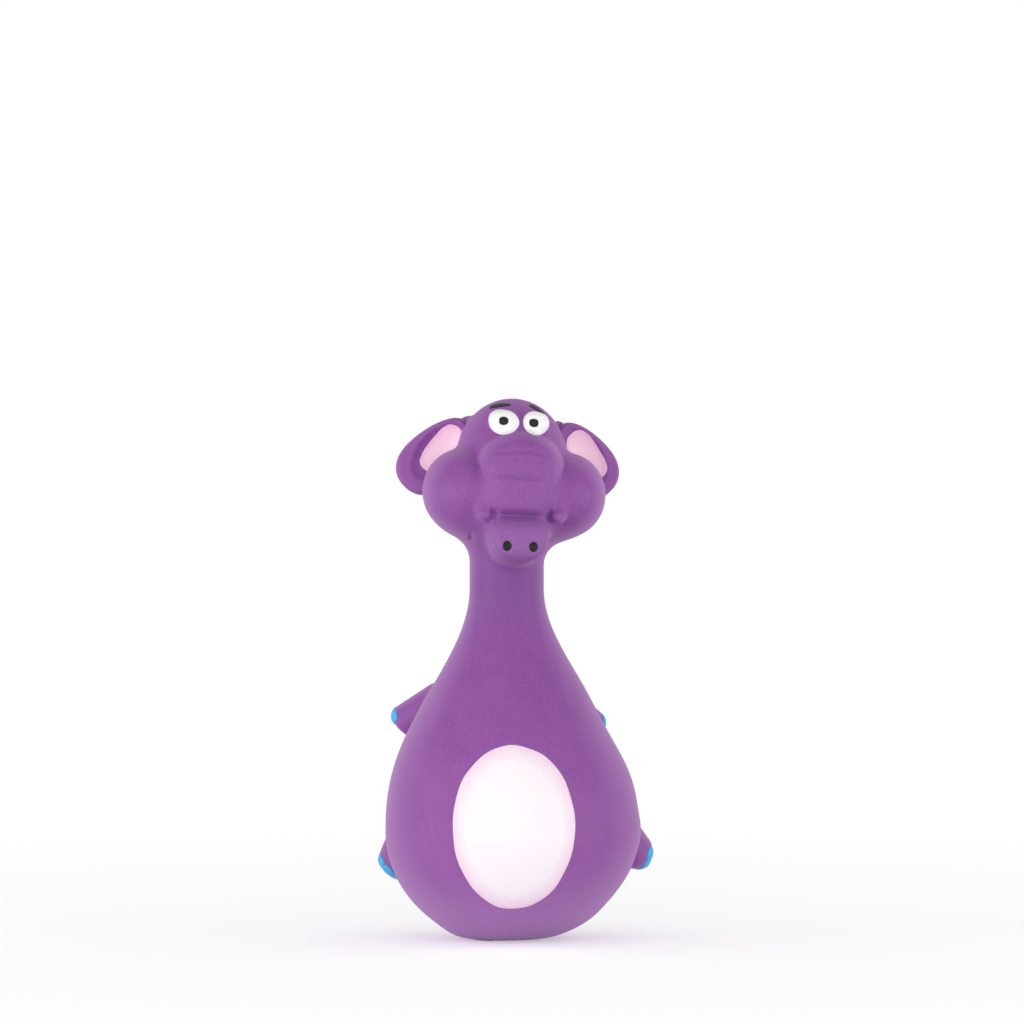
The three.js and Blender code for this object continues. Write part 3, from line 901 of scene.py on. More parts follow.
@dataclass(frozen=True)
class ReedSheet(Finish):
    """Rolled polyester film: amber, glossy, with fine rolling lines."""

    roughness: float = 0.27
    ior: float = 1.57
    colour: str = "#D8C9A0"
    line_colour: str = "#C3AF7C"
    line_mm: float = 0.4
    line_stray: float = 1.5

    def shade(self, tree: Tree) -> Node:
        """Rolling lines in colour and gloss."""
        place = add_node(tree, "TexCoord").outputs["Object"]
        inputs = {"Vector": place, "Scale": per_metre(self.line_mm) / WAVE_PHASE}
        inputs |= {"Distortion": self.line_stray, "Detail": 2.0}
        lines = add_node(tree, "TexWave", {"bands_direction": "X"}, inputs).outputs["Fac"]
        return self.surface(tree, ((None, self.colour), (lines, self.line_colour)), lines)


def seen(tree: Tree) -> Socket:
    """One where the eye, a mirror or a glass looks, and nought where light only bounces."""
    path = add_node(tree, "LightPath")
    shown = path.outputs["Is Camera Ray"]
    for ray in ("Is Glossy Ray", "Is Transmission Ray"):
        shown = add_node(tree, "Math", {"operation": "MAXIMUM"}, {0: shown, 1: path.outputs[ray]}).outputs[0]
    return shown


@dataclass(frozen=True)
class PaperSweep(Finish):
    """White background paper: it takes the toy's shadow, and runs out into plain white."""

    colour: str = "#F7F7F7"
    far_colour: str = "#FFFFFF"
    fade: Ramp = Ramp(0.10, 0.45)
    glow: float = 0.4

    def shade(self, tree: Tree) -> Node:
        """Lit paper near the toy, and plain white at a distance, for the eye alone."""
        place = add_node(tree, "TexCoord").outputs["Object"]
        away = add_node(tree, "VectorMath", {"operation": "LENGTH"}, {0: place}).outputs["Value"]
        fade = add_node(tree, "MapRange", {"interpolation_type": "SMOOTHSTEP"}, self.fade.inputs(away))
        shown = seen(tree)
        share = add_node(tree, "Math", {"operation": "MULTIPLY"}, {0: fade.outputs[0], 1: shown})
        glow = add_node(tree, "Math", {"operation": "MULTIPLY"}, {0: shown, 1: self.glow})
        paper = add_node(tree, "BsdfDiffuse", inputs={"Color": linear(self.colour)})
        lift = add_node(tree, "Emission", inputs={"Strength": glow.outputs[0]})
        near = add_node(tree, "AddShader", inputs={0: paper.outputs[0], 1: lift.outputs[0]})
        far = add_node(tree, "Emission", inputs={"Color": linear(self.far_colour), "Strength": 1.0})
        inputs = {0: share.outputs[0], 1: near.outputs[0], 2: far.outputs[0]}
        return add_node(tree, "MixShader", inputs=inputs)


LATEX = MouldedLatex(Slot.LATEX, "moulded_latex")
PINK = BrushedPaint(Slot.PINK, "brushed_pink_paint", colour="#FDCFE4", edge_colour="#F1B6D8")
CREAM = BrushedPaint(Slot.BELLY, "brushed_blush_white_paint", colour="#FBF3F8", edge_colour="#F3CFE9")
WHITE = BrushedPaint(Slot.WHITE, "brushed_white_paint", 0.36, colour="#FAFAF7", edge_colour="#EFE6F0")
BLACK = BrushedPaint(
    Slot.BLACK, "brushed_black_paint", 0.5, specular=0.25, colour="#1A171B", edge_colour="#2A1E2E"
)
BLUE = BrushedPaint(Slot.BLUE, "brushed_sky_blue_paint", colour="#45AFE6", edge_colour="#3F9AD6")


def make_piece(name: str, points: Array, faces: Sequence[Sequence[int]], finish: Finish) -> Piece:
    """A smooth mesh object.

    Args:
        name: The piece's name.
        points: Its points in millimetres.
        faces: Point numbers of each face.
        finish: What it is made of.

    Returns:
        The object, at the origin and in the scene.
    """
    mesh = bpy.data.meshes.new(name)
    mesh.from_pydata((points * MM).tolist(), [], [list(map(int, f)) for f in faces])
    mesh.polygons.foreach_set("use_smooth", [True] * len(mesh.polygons))
    mesh.materials.append(finish.material())
    piece = bpy.data.objects.new(name, mesh)
    bpy.context.scene.collection.objects.link(piece)
    return piece


def mesh_points(piece: Piece) -> Array:
    """A piece's points in millimetres."""
    flat = np.empty(3 * len(piece.data.vertices))
    piece.data.vertices.foreach_get("co", flat)
    return flat.reshape(-1, 3) / MM


def add_share(piece: Piece, name: str, values: Array) -> None:
    """Stores one number for each point, for the finish to read."""
    layer = piece.data.attributes.new(name, "FLOAT", "POINT")
    layer.data.foreach_set("value", values.astype(np.float32))


def polish(piece: Piece, form: Form) -> None:
    """Gives a latex piece the form's own normals, its ridges and the lie of its painted shade, paler parts
    and painted sheen.
    """
    points = mesh_points(piece)
    add_share(piece, "ridge", np.clip(form.ridge(points), -RIDGE_LIMIT, RIDGE_LIMIT))
    for name, share in LATEX.shares(points).items():
        add_share(piece, name, share)
    piece.data.normals_split_custom_set_from_vertices(form.outward(points).tolist())


def stands_for(piece: Piece, finish: Finish, *nodes: str) -> None:
    """Hides the CAD nodes that a piece stands for, and reports it."""
    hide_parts(*nodes)
    log.info("%s: %d points for %s", piece.name, len(piece.data.vertices), ", ".join(nodes))


@dataclass(frozen=True)
class Outline:
    """A closed outline about its own middle: an oval that can be squared, tapered, bent or uneven."""

    half_width: float
    half_height: float
    power: float = 2.0
    taper: float = 0.0
    bend: float = 0.0
    wobble: float = 0.0

    def at(self, ring: Array, angle: Array) -> tuple[Array, Array]:
        """Places inside the outline.

        Args:
            ring: Share of the way from the middle to the edge.
            angle: Direction from the middle.

        Returns:
            How far right and how far up each place is.
        """
        right, up = np.cos(angle), np.sin(angle)
        reach = (np.abs(right) ** self.power + np.abs(up) ** self.power) ** (-1.0 / self.power)
        waves = sum(share * np.sin(count * angle + phase) for count, phase, share in EDGE_WAVES)
        uneven = 1.0 + self.wobble * waves
        along = ring * reach * right
        above = ring * reach * up * (1.0 + self.taper * along)
        return (
            self.half_width * along * uneven,
            self.half_height * above * uneven + self.bend * along**2,
        )


@dataclass(frozen=True)
class Coat:
    """How paint lies: how thick and how domed it is, how finely meshed, and how it is put on."""

    lift: float = 0.10
    crown: float = 0.0
    rings: int = 14
    spokes: int = 56
    reach: float = 40.0
    wrapped: bool = False
    last_ring: float = 0.96
    tuck: float = 0.06
    settling: int = 8


@dataclass(frozen=True)
class Film:
    """A coat of paint inside an outline, laid on a form along a direction."""

    name: str
    middle: Array
    right: Array
    up: Array
    outline: Outline
    finish: Finish
    coat: Coat = Coat()

    def lay(self, form: Form) -> Piece:
        """The film as a mesh on the form, its edge tucked into the latex.

        Args:
            form: What it is painted on.

        Returns:
            The painted piece.
        """
        coat = self.coat
        shares = np.concatenate([np.linspace(1.0 / coat.rings, coat.last_ring, coat.rings), [1.0]])
        spokes = np.arange(coat.spokes) * 2.0 * math.pi / coat.spokes
        ring, angle = np.meshgrid(shares, spokes, indexing="ij")
        ring = np.concatenate([[0.0], ring.ravel()])
        angle = np.concatenate([[0.0], angle.ravel()])
        across, above = self.outline.at(ring, angle)
        flat = self.middle + across[:, None] * unit(self.right) + above[:, None] * unit(self.up)
        inward = -np.cross(unit(self.right), unit(self.up))
        if coat.wrapped:
            ground = form.settle(flat, rounds=coat.settling)
        else:
            ground = form.meet(flat - inward * coat.reach / 2.0, inward, coat.reach)
        domed = coat.lift + coat.crown * np.sqrt(np.maximum(1.0 - ring**2, 0.0))
        height = np.where(ring > coat.last_ring, -coat.tuck, domed)
        points = ground + form.outward(ground) * height[:, None]
        piece = make_piece(self.name, points, self.fan(len(shares)), self.finish)
        add_share(piece, "rim", ring)
        return piece

    def fan(self, ring_count: int) -> list[list[int]]:
        """Faces of rings round a middle point."""
        faces = []
        spokes = self.coat.spokes
        for spoke in range(spokes):
            following = (spoke + 1) % spokes
            faces.append([0, 1 + spoke, 1 + following])
            for ring in range(ring_count - 1):
                low = 1 + ring * spokes
                high = low + spokes
                faces.append([low + spoke, high + spoke, high + following, low + following])
        return faces


def squeeze_with_torso(piece: Piece) -> None:
    """The piece is carried by the torso."""
    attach(piece, Body.TORSO.value)
    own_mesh(piece)


@dataclass(frozen=True)
class Limb:
    """A stub leg that droops from the body: azimuth runs from the toy's side to its back."""

    name: str
    side: Side
    azimuth: float
    foot_height: float
    foot_out: float
    droop: float
    sole_down: float
    toes_forward: float
    foot_radius: float = 4.6
    root_radius: float = 4.8
    sole_drop: float = 2.9
    flat_below: float = 0.0
    length: float = 9.0
    fillet: float = 1.0
    sole_edge: float = 1.3
    toe_spread: float = 43.0
    nail: Outline = Outline(2.0, 1.9, power=2.5)
    nail_over_sole: float = 0.6
    nail_coat: Coat = Coat(0.08, 0.3, rings=7, spokes=28, wrapped=True)

    def way(self, down: float) -> Array:
        """The direction out of the body that dips by so many degrees."""
        round_body, dip = math.radians(self.azimuth), math.radians(down)
        level = np.array([self.side.value * math.cos(round_body), math.sin(round_body), 0.0])
        return level * math.cos(dip) - np.array([0.0, 0.0, math.sin(dip)])

    def foot(self, pear: Pear) -> Array:
        """Middle of the round foot, a little way out of the body's skin."""
        height = np.array([self.foot_height])
        level = self.way(0.0)
        skin = 1.0 / np.linalg.norm(level[:2] / pear.radii(height)[0])
        return level * (skin + self.foot_out) + np.array([pear.axis(height)[0], 0.0, self.foot_height])

    def toe(self, degrees: float) -> Array:
        """A direction round the sole's edge: nought is up, and a quarter turn is to the front."""
        sole = self.way(self.sole_down)
        above = unit(np.array([0.0, 0.0, 1.0]) - sole * sole[2])
        back = np.cross(above, sole) * self.side.value
        angle = math.radians(degrees)
        return above * math.cos(angle) - back * math.sin(angle)

    def layer(self, pear: Pear) -> Layer:
        """The leg with its flattened sole."""
        foot = self.foot(pear)
        sole = self.way(self.sole_down)
        start = foot - self.way(self.droop) * self.length
        cuts = [HalfSpace(tuple(foot + sole * self.sole_drop), tuple(sole))]
        if self.flat_below > 0.0:
            cuts.append(HalfSpace((0.0, 0.0, self.flat_below), (0.0, 0.0, -1.0)))
        stub = RoundCone(tuple(start), tuple(foot), self.root_radius, self.foot_radius)
        leg = Moulding((Layer(stub), *[Layer(cut, self.sole_edge, cut=True) for cut in cuts]))
        return Layer(leg, self.fillet)

    def nails(self, pear: Pear) -> list[Film]:
        """Three toenails at the edge of the sole."""
        made = []
        sole = self.way(self.sole_down)
        below = self.sole_drop - self.nail_over_sole * self.nail.half_height
        dip = math.asin(below / self.foot_radius)
        for word, turn in (("inner", self.toe_spread), ("middle", 0.0), ("outer", -self.toe_spread)):
            out = self.toe(self.toes_forward + turn) * math.cos(dip) + sole * math.sin(dip)
            up = unit(out * (out @ sole) - sole)
            middle = self.foot(pear) + out * self.foot_radius
            name = f"{self.name}_{word}_nail_paint"
            made.append(Film(name, middle, np.cross(up, out), up, self.nail, BLUE, self.nail_coat))
        return made


@dataclass(frozen=True)
class Torso:
    """The pear-shaped body with its four legs, the belly paint and the pocket of the squeaker."""

    pear: Pear
    cell: float = 0.6
    wrap_low: Vec = (-37.0, -29.5, -1.3)
    wrap_side: tuple[float, float] = (37.0, 29.5)
    wrap_over: float = 2.0
    patch: Outline = Outline(14.9, 20.0, power=2.03, wobble=0.006)
    patch_rise: float = 28.9
    patch_shift: float = 0.4
    patch_coat: Coat = Coat(0.12, rings=34, spokes=120)
    pocket_radius: float = 6.8
    pocket_top: float = 1.6
    pocket_edge: float = 0.5
    limbs: tuple[Limb, ...] = (
        Limb(
            "right_foreleg", Side.RIGHT, azimuth=20.0, foot_height=53.2, foot_out=2.6, droop=30.0,
            sole_down=45.0, toes_forward=5.0, foot_radius=4.7, root_radius=5.0,
        ),
        Limb(
            "left_foreleg", Side.LEFT, azimuth=42.0, foot_height=51.8, foot_out=1.9, droop=30.0,
            sole_down=45.0, toes_forward=5.0,
        ),
        Limb(
            "right_hind_leg", Side.RIGHT, azimuth=28.0, foot_height=18.6, foot_out=3.0, droop=64.0,
            sole_down=42.0, toes_forward=112.0, foot_radius=4.9, root_radius=5.0, sole_drop=3.9,
        ),
        Limb(
            "left_hind_leg", Side.LEFT, azimuth=23.0, foot_height=20.6, foot_out=2.6, droop=45.0,
            sole_down=16.0, toes_forward=128.0, foot_radius=5.2, root_radius=6.4, sole_drop=4.6,
            flat_below=16.3,
        ),
    )

    def form(self) -> Moulding:
        """The body's latex."""
        pocket = Layer(Pit(self.pocket_radius, self.pocket_top), self.pocket_edge, cut=True)
        return Moulding((Layer(self.pear), *[limb.layer(self.pear) for limb in self.limbs], pocket))

    def build(self) -> None:
        """Makes the skin, the belly paint and the nails."""
        form = self.form()
        low, high = node_box("torso_shell")
        top = high[2]
        points, faces = Net(self.cell).wrap(form, self.wrap_low, (*self.wrap_side, top + self.wrap_over))
        skin = make_piece("torso_skin", points, faces, LATEX)
        slice_level(skin, top, keep_above=False)
        polish(skin, form)
        squeeze_with_torso(skin)
        stands_for(skin, LATEX, "torso_shell", *[limb.name for limb in self.limbs])
        right, _, up = np.eye(3)
        middle = np.array([self.patch_shift, low[1], self.patch_rise])
        patch = Film("belly_paint", middle, right, up, self.patch, CREAM, self.patch_coat).lay(form)
        squeeze_with_torso(patch)
        stands_for(patch, CREAM, "belly_patch")
        for limb in self.limbs:
            for film in limb.nails(self.pear):
                nail = film.lay(form)
                squeeze_with_torso(nail)
                stands_for(nail, BLUE, film.name.removesuffix("_paint"))


def slice_level(piece: Piece, height: float, keep_above: bool) -> None:
    """Cuts a piece at a level and closes the cut.

    Args:
        piece: What to cut.
        height: Level of the cut in millimetres.
        keep_above: Which part stays.
    """
    shell = bmesh.new()
    shell.from_mesh(piece.data)
    cut = bmesh.ops.bisect_plane(
        shell,
        geom=[*shell.verts, *shell.edges, *shell.faces],
        plane_co=(0.0, 0.0, height * MM),
        plane_no=(0.0, 0.0, 1.0),
        clear_inner=keep_above,
        clear_outer=not keep_above,
    )
    edges = [e for e in cut["geom_cut"] if isinstance(e, bmesh.types.BMEdge)]
    bmesh.ops.edgeloop_fill(shell, edges=edges)
    shell.to_mesh(piece.data)
    shell.free()


def split_level(
    piece: Piece, height: float, keep_above: bool, axis_x: float, radius: float
) -> None:
    """Cuts only the neck of a piece at a level, and leaves what hangs beside the neck on the upper part.

    Args:
        piece: What to cut.
        height: Level of the cut in millimetres.
        keep_above: Which part stays.
        axis_x: Sideways place of the neck's middle.
        radius: How far from it the neck reaches.
    """
    shell = bmesh.new()
    shell.from_mesh(piece.data)

    def in_neck(face: bmesh.types.BMFace) -> bool:
        """Whether a face belongs to the neck's tube."""
        middle = face.calc_center_median() / MM
        return math.hypot(middle.x - axis_x, middle.y) < radius and middle.z < height + NECK_SLACK

    near = [f for f in shell.faces if in_neck(f)]
    edges = {e for f in near for e in f.edges}
    corners = {v for f in near for v in f.verts}
    plane = (0.0, 0.0, height * MM)
    bmesh.ops.bisect_plane(shell, geom=[*corners, *edges, *near], plane_co=plane, plane_no=(0.0, 0.0, 1.0))
    below = [f for f in shell.faces if in_neck(f) and f.calc_center_median().z < plane[2]]
    lower = set(below)
    dropped = below if keep_above else [f for f in shell.faces if f not in lower]
    bmesh.ops.delete(shell, geom=dropped, context="FACES")
    open_edges = [e for e in shell.edges if e.is_boundary]
    rim = [e for e in open_edges if all(abs(v.co.z - plane[2]) < ON_CUT for v in e.verts)]
    bmesh.ops.edgeloop_fill(shell, edges=rim)
    shell.to_mesh(piece.data)
    shell.free()


@dataclass(frozen=True)
class Neck:
    """The slim neck: two short sleeves of skin between the body, the nape and the head."""

    pear: Pear
    start: float
    middle: float = 86.0
    end: float = 92.5
    reach: float = 11.2
    overlap: float = 0.2

    def build(self, stalk: Piece, form: Form) -> None:
        """Cuts the two sleeves out of the wrapped neck and head.

        Args:
            stalk: The neck and head in one piece.
            form: The latex that it wraps.
        """
        sleeves = (
            ("neck_low_skin", "neck_lower_ring", self.start, self.middle, Body.NECK, Body.NAPE),
            ("neck_high_skin", "neck_upper_ring", self.middle, self.end, Body.NAPE, Body.HEAD),
        )
        for name, node, low, high, carried, turning in sleeves:
            piece = bpy.data.objects.new(name, stalk.data.copy())
            bpy.context.scene.collection.objects.link(piece)
            split_level(piece, high, False, self.pear.lean, self.reach)
            slice_level(piece, low, keep_above=True)
            polish(piece, form)
            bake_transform(piece)
            stands_for(piece, LATEX, node)


@dataclass(frozen=True)
class FacePaint:
    """How one half of the face is painted: the hand that did it made the two sides differ."""

    eye: Outline
    eye_shift: float
    pupil_right: float
    pupil_up: float
    brow_at: Vec
    brow_slope: float


@dataclass(frozen=True)
class Head:
    """The head: a small dome, two fat cheeks, a flat-fronted muzzle, a stubby trunk and two tusk stubs."""

    pear: Pear
    shift: float = 0.3
    pivot: float = 110.0
    turn: float = 6.5
    roll: float = 2.3
    cell: float = 0.5
    wrap_low: tuple[float, float] = (-25.0, -29.0)
    wrap_under: float = 1.5
    wrap_high: Vec = (27.0, 18.0, 134.0)
    neck_fillet: float = 4.2
    dome: Egg = Egg((-0.6, 1.4, 117.9), (13.5, 14.2, 14.5))
    cheek: Egg = Egg((12.75, -2.0, 109.2), (9.7, 12.4, 10.4))
    cheek_fillet: float = 2.4
    jaw: Egg = Egg((-0.55, 0.0, 104.4), (17.2, 14.8, 9.7))
    jaw_fillet: float = 4.0
    eye_side: float = 4.0
    eye_front: float = -12.0
    eye_rise: float = 126.35
    mound: Egg = Egg((4.0, -8.4, 126.15), (3.5, 2.6, 2.9))
    mound_fillet: float = 1.2
    muzzle_top: Egg = Egg((0.4, -9.0, 115.4), (10.5, 10.6, 9.0))
    muzzle_low: Layer = Layer(Egg((0.0, -9.4, 108.2), (8.7, 9.6, 7.2)), 5.0)
    muzzle_face: Layer = Layer(HalfSpace((0.0, -19.0, 114.0), (0.0, -1.0, 0.06)), 3.0, cut=True)
    muzzle_fillet: float = 1.1
    muzzle_foot: Vec = (5.0, 106.0, 115.0)
    trunk_middle: Vec = (0.25, -14.8, 97.2)
    trunk_half: Vec = (7.15, 7.2, 4.95)
    trunk_rounding: float = 3.5
    trunk_tilt: float = -7.0
    trunk_fillet: float = 2.0
    trunk_back: Layer = Layer(Egg((-0.4, -10.6, 102.2), (6.6, 6.0, 4.8)), 2.4)
    lip: Layer = Layer(Egg((-1.7, -12.2, 97.0), (4.3, 3.9, 3.4)), 2.6)
    chin_inset: float = 1.6
    chin_edge: float = 3.0
    tusk_side: float = 9.0
    tusk_shift: float = 0.6
    tusk_splay: float = 0.9
    tusk_root: tuple[float, float] = (-10.4, 106.6)
    tusk_tip: tuple[float, float] = (-14.2, 103.7)
    tusk_radii: tuple[float, float] = (2.3, 1.6)
    tusk_fillet: float = 1.3
    groove_inset: float = 2.1
    groove: Dimple = Dimple(0.0, 104.0, 0.9, 1.3, 0.5, behind=-12.0)
    wrinkles: tuple[Dimple, ...] = (
        Dimple(0.2, 119.2, 6.6, 0.6, 0.3, bow=0.8, behind=-10.0),
        Dimple(-0.4, 117.4, 6.2, 0.6, 0.15, bow=0.6, behind=-10.0),
        Dimple(-0.7, 112.8, 6.2, 0.5, 0.3, bow=0.1, behind=-10.0),
    )
    mouth: Dimple = Dimple(0.0, 103.8, 5.3, 0.95, 0.95, behind=-12.0)
    flaw: Dimple = Dimple(-10.7, 98.2, 0.5, 0.6, 0.6, behind=0.0)
    nostril_side: float = 3.15
    nostril_shift: float = -0.45
    nostril_front: float = -26.0
    nostril_rise: float = 96.3
    nostril_pit: Dimple = Dimple(0.0, 0.0, 1.1, 1.2, 0.7, behind=-18.0)
    nostril_spot: Outline = Outline(1.1, 1.28, wobble=0.012)
    nostril_coat: Coat = Coat(0.06, rings=8, spokes=32)
    eye_coat: Coat = Coat(crown=0.25)
    pupil: Outline = Outline(1.1, 0.98, 2.4, wobble=0.012)
    pupil_coat: Coat = Coat(0.4, 0.05, rings=6, spokes=28)
    brow: Outline = Outline(2.7, 0.45, 2.4, taper=-0.35)
    brow_coat: Coat = Coat(0.08, 0.06, rings=6, spokes=40, wrapped=True)
    sight: float = 40.0
    right_paint: FacePaint = FacePaint(
        eye=Outline(3.7, 3.12, 2.05, taper=-0.10, wobble=0.006),
        eye_shift=0.0,
        pupil_right=-0.25,
        pupil_up=0.14,
        brow_at=(-4.6, -8.0, 130.5),
        brow_slope=0.16,
    )
    left_paint: FacePaint = FacePaint(
        eye=Outline(3.25, 2.98, 2.05, wobble=0.008),
        eye_shift=-0.2,
        pupil_right=-0.65,
        pupil_up=-0.05,
        brow_at=(5.0, -8.0, 129.75),
        brow_slope=-0.6,
    )

    def placed(self, form: Form) -> Placed:
        """A form of the head's own axes, turned and tilted as the head is."""
        axes = turned(self.turn, 2) @ turned(self.roll, 1)
        return Placed(form, (self.shift, 0.0, self.pivot), axes, (0.0, 0.0, self.pivot))

    def form(self, ears: Sequence["Ear"]) -> Moulding:
        """The latex of head and neck, in the toy's axes.

        Args:
            ears: The ears, whose roots swell out of the head.

        Returns:
            The whole form.
        """
        own = Moulding(tuple(self.layers()), tuple(self.dimples()))
        roots = [ear.root() for ear in ears]
        return Moulding((Layer(self.pear), Layer(self.placed(own), self.neck_fillet), *roots))

    def layers(self) -> list[Layer]:
        """The head's forms in its own axes."""
        cheeks, mounds, tusks = [], [], []
        for side in Side:
            cheeks.append(Layer(self.cheek.on_side(side), self.cheek_fillet))
            mounds.append(Layer(self.mound.on_side(side), self.mound_fillet))
            tusks.append(Layer(self.tusk(side), self.tusk_fillet))
        muzzle = Moulding((Layer(self.muzzle_top), self.muzzle_low, self.muzzle_face))
        return [
            Layer(self.dome),
            Layer(self.jaw, self.jaw_fillet),
            *cheeks,
            *mounds,
            Layer(muzzle, self.muzzle_fillet, foot=self.muzzle_foot),
            Layer(self.trunk(), self.trunk_fillet),
            *tusks,
        ]

    def trunk(self) -> Moulding:
        """The trunk's blunt end with its lower corners rounded off, its back and its lip."""
        axes = turned(-self.turn, 2) @ turned(self.trunk_tilt, 0)
        end = Block(self.trunk_middle, self.trunk_half, self.trunk_rounding, axes)
        chins = [Layer(self.chin(side), self.chin_edge, cut=True) for side in Side]
        return Moulding((Layer(end), *chins, self.trunk_back, self.lip))

    def chin(self, side: Side) -> HalfSpace:
        """What is rounded off a lower corner of the trunk."""
        x, y, z = self.trunk_middle
        half_width, _, half_height = self.trunk_half
        corner = (x + side.value * (half_width - self.chin_inset), y, z - half_height + self.chin_inset)
        return HalfSpace(corner, (side.value, 0.0, -1.0))

    def tusk(self, side: Side) -> RoundCone:
        """A tusk stub beside the trunk."""
        x = self.tusk_shift + side.value * self.tusk_side
        root = (x + side.value * self.tusk_splay, *self.tusk_root)
        return RoundCone(root, (x, *self.tusk_tip), *self.tusk_radii)

    def nostril(self, side: Side) -> Vec:
        """Where a nostril is, just in front of the trunk."""
        x = self.trunk_middle[0] + self.nostril_shift + side.value * self.nostril_side
        return (x, self.nostril_front, self.nostril_rise)

    def dimples(self) -> list[Dimple]:
        """Wrinkles over the muzzle, the mouth, nostrils, tusk grooves and a flaw under the cheek."""
        spots = [self.nostril(side) for side in Side]
        groove_side = self.tusk_side - self.groove_inset
        return [
            *self.wrinkles,
            self.mouth,
            *[replace(self.nostril_pit, x=x, z=z) for x, _, z in spots],
            *[replace(self.groove, x=self.tusk_shift + side.value * groove_side) for side in Side],
            self.flaw,
        ]

    def build(self, stalk: Piece, form: Form, neck: Neck) -> None:
        """Keeps the head of the wrapped skin and paints the face.

        Args:
            stalk: The neck and head in one piece.
            form: The latex that it wraps.
            neck: Where the head ends.
        """
        stalk.name = "head_skin"
        split_level(stalk, neck.end, True, self.pear.lean, neck.reach)
        polish(stalk, form)
        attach(stalk, Body.HEAD.value)
        stands_for(stalk, LATEX, "head_shell", "trunk_tip", "right_tusk", "left_tusk")
        for side, paint in ((Side.RIGHT, self.right_paint), (Side.LEFT, self.left_paint)):
            for film in [*self.face(side, paint), self.stroke(side, paint, form)]:
                piece = film.lay(form)
                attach(piece, Body.HEAD.value)
                stands_for(piece, film.finish, film.name.removesuffix("_paint"))

    def face(self, side: Side, paint: FacePaint) -> list[Film]:
        """The painted eye, pupil and nostril of one side.

        Args:
            side: Which side of the face.
            paint: How that side is painted.

        Returns:
            The films, named for the nodes that they stand for.
        """
        place = self.placed(self.dome)
        right, up = place.axes[:, 0], place.axes[:, 2]
        eye_x = side.value * self.eye_side + paint.eye_shift
        eye = place.outside((eye_x, self.eye_front, self.eye_rise))
        pupil = eye + (right * paint.pupil_right + up * paint.pupil_up)
        nostril = place.outside(self.nostril(side))
        spots = (
            ("eye", eye, paint.eye, WHITE, self.eye_coat),
            ("pupil", pupil, self.pupil, BLACK, self.pupil_coat),
            ("nostril", nostril, self.nostril_spot, BLACK, self.nostril_coat),
        )
        return [Film(f"{side.label}_{word}_paint", at, right, up, *look) for word, at, *look in spots]

    def stroke(self, side: Side, paint: FacePaint, form: Form) -> Film:
        """The painted brow over one eye, which lies along the slope of the forehead.

        Args:
            side: Which side of the face.
            paint: How that side is painted.
            form: What it is painted on.

        Returns:
            The film, as long and as wide from the front as the brow is drawn.
        """
        place = self.placed(self.dome)
        right, inward, up = place.axes.T
        start = place.outside(paint.brow_at)[None] - inward * self.sight / 2.0
        middle = form.meet(start, inward, self.sight)[0]
        slope = form.outward(middle[None])[0]
        along = unit(right + up * paint.brow_slope)
        course = along - inward * (along @ slope) / (inward @ slope)
        across = np.cross(slope, unit(course))
        shown = abs(across @ np.cross(inward, along))
        outline = replace(
            self.brow,
            half_width=self.brow.half_width * float(np.linalg.norm(course)),
            half_height=self.brow.half_height / shown,
        )
        name = f"{side.label}_brow_paint"
        return Film(name, middle, course, across, outline, BLACK, self.brow_coat)


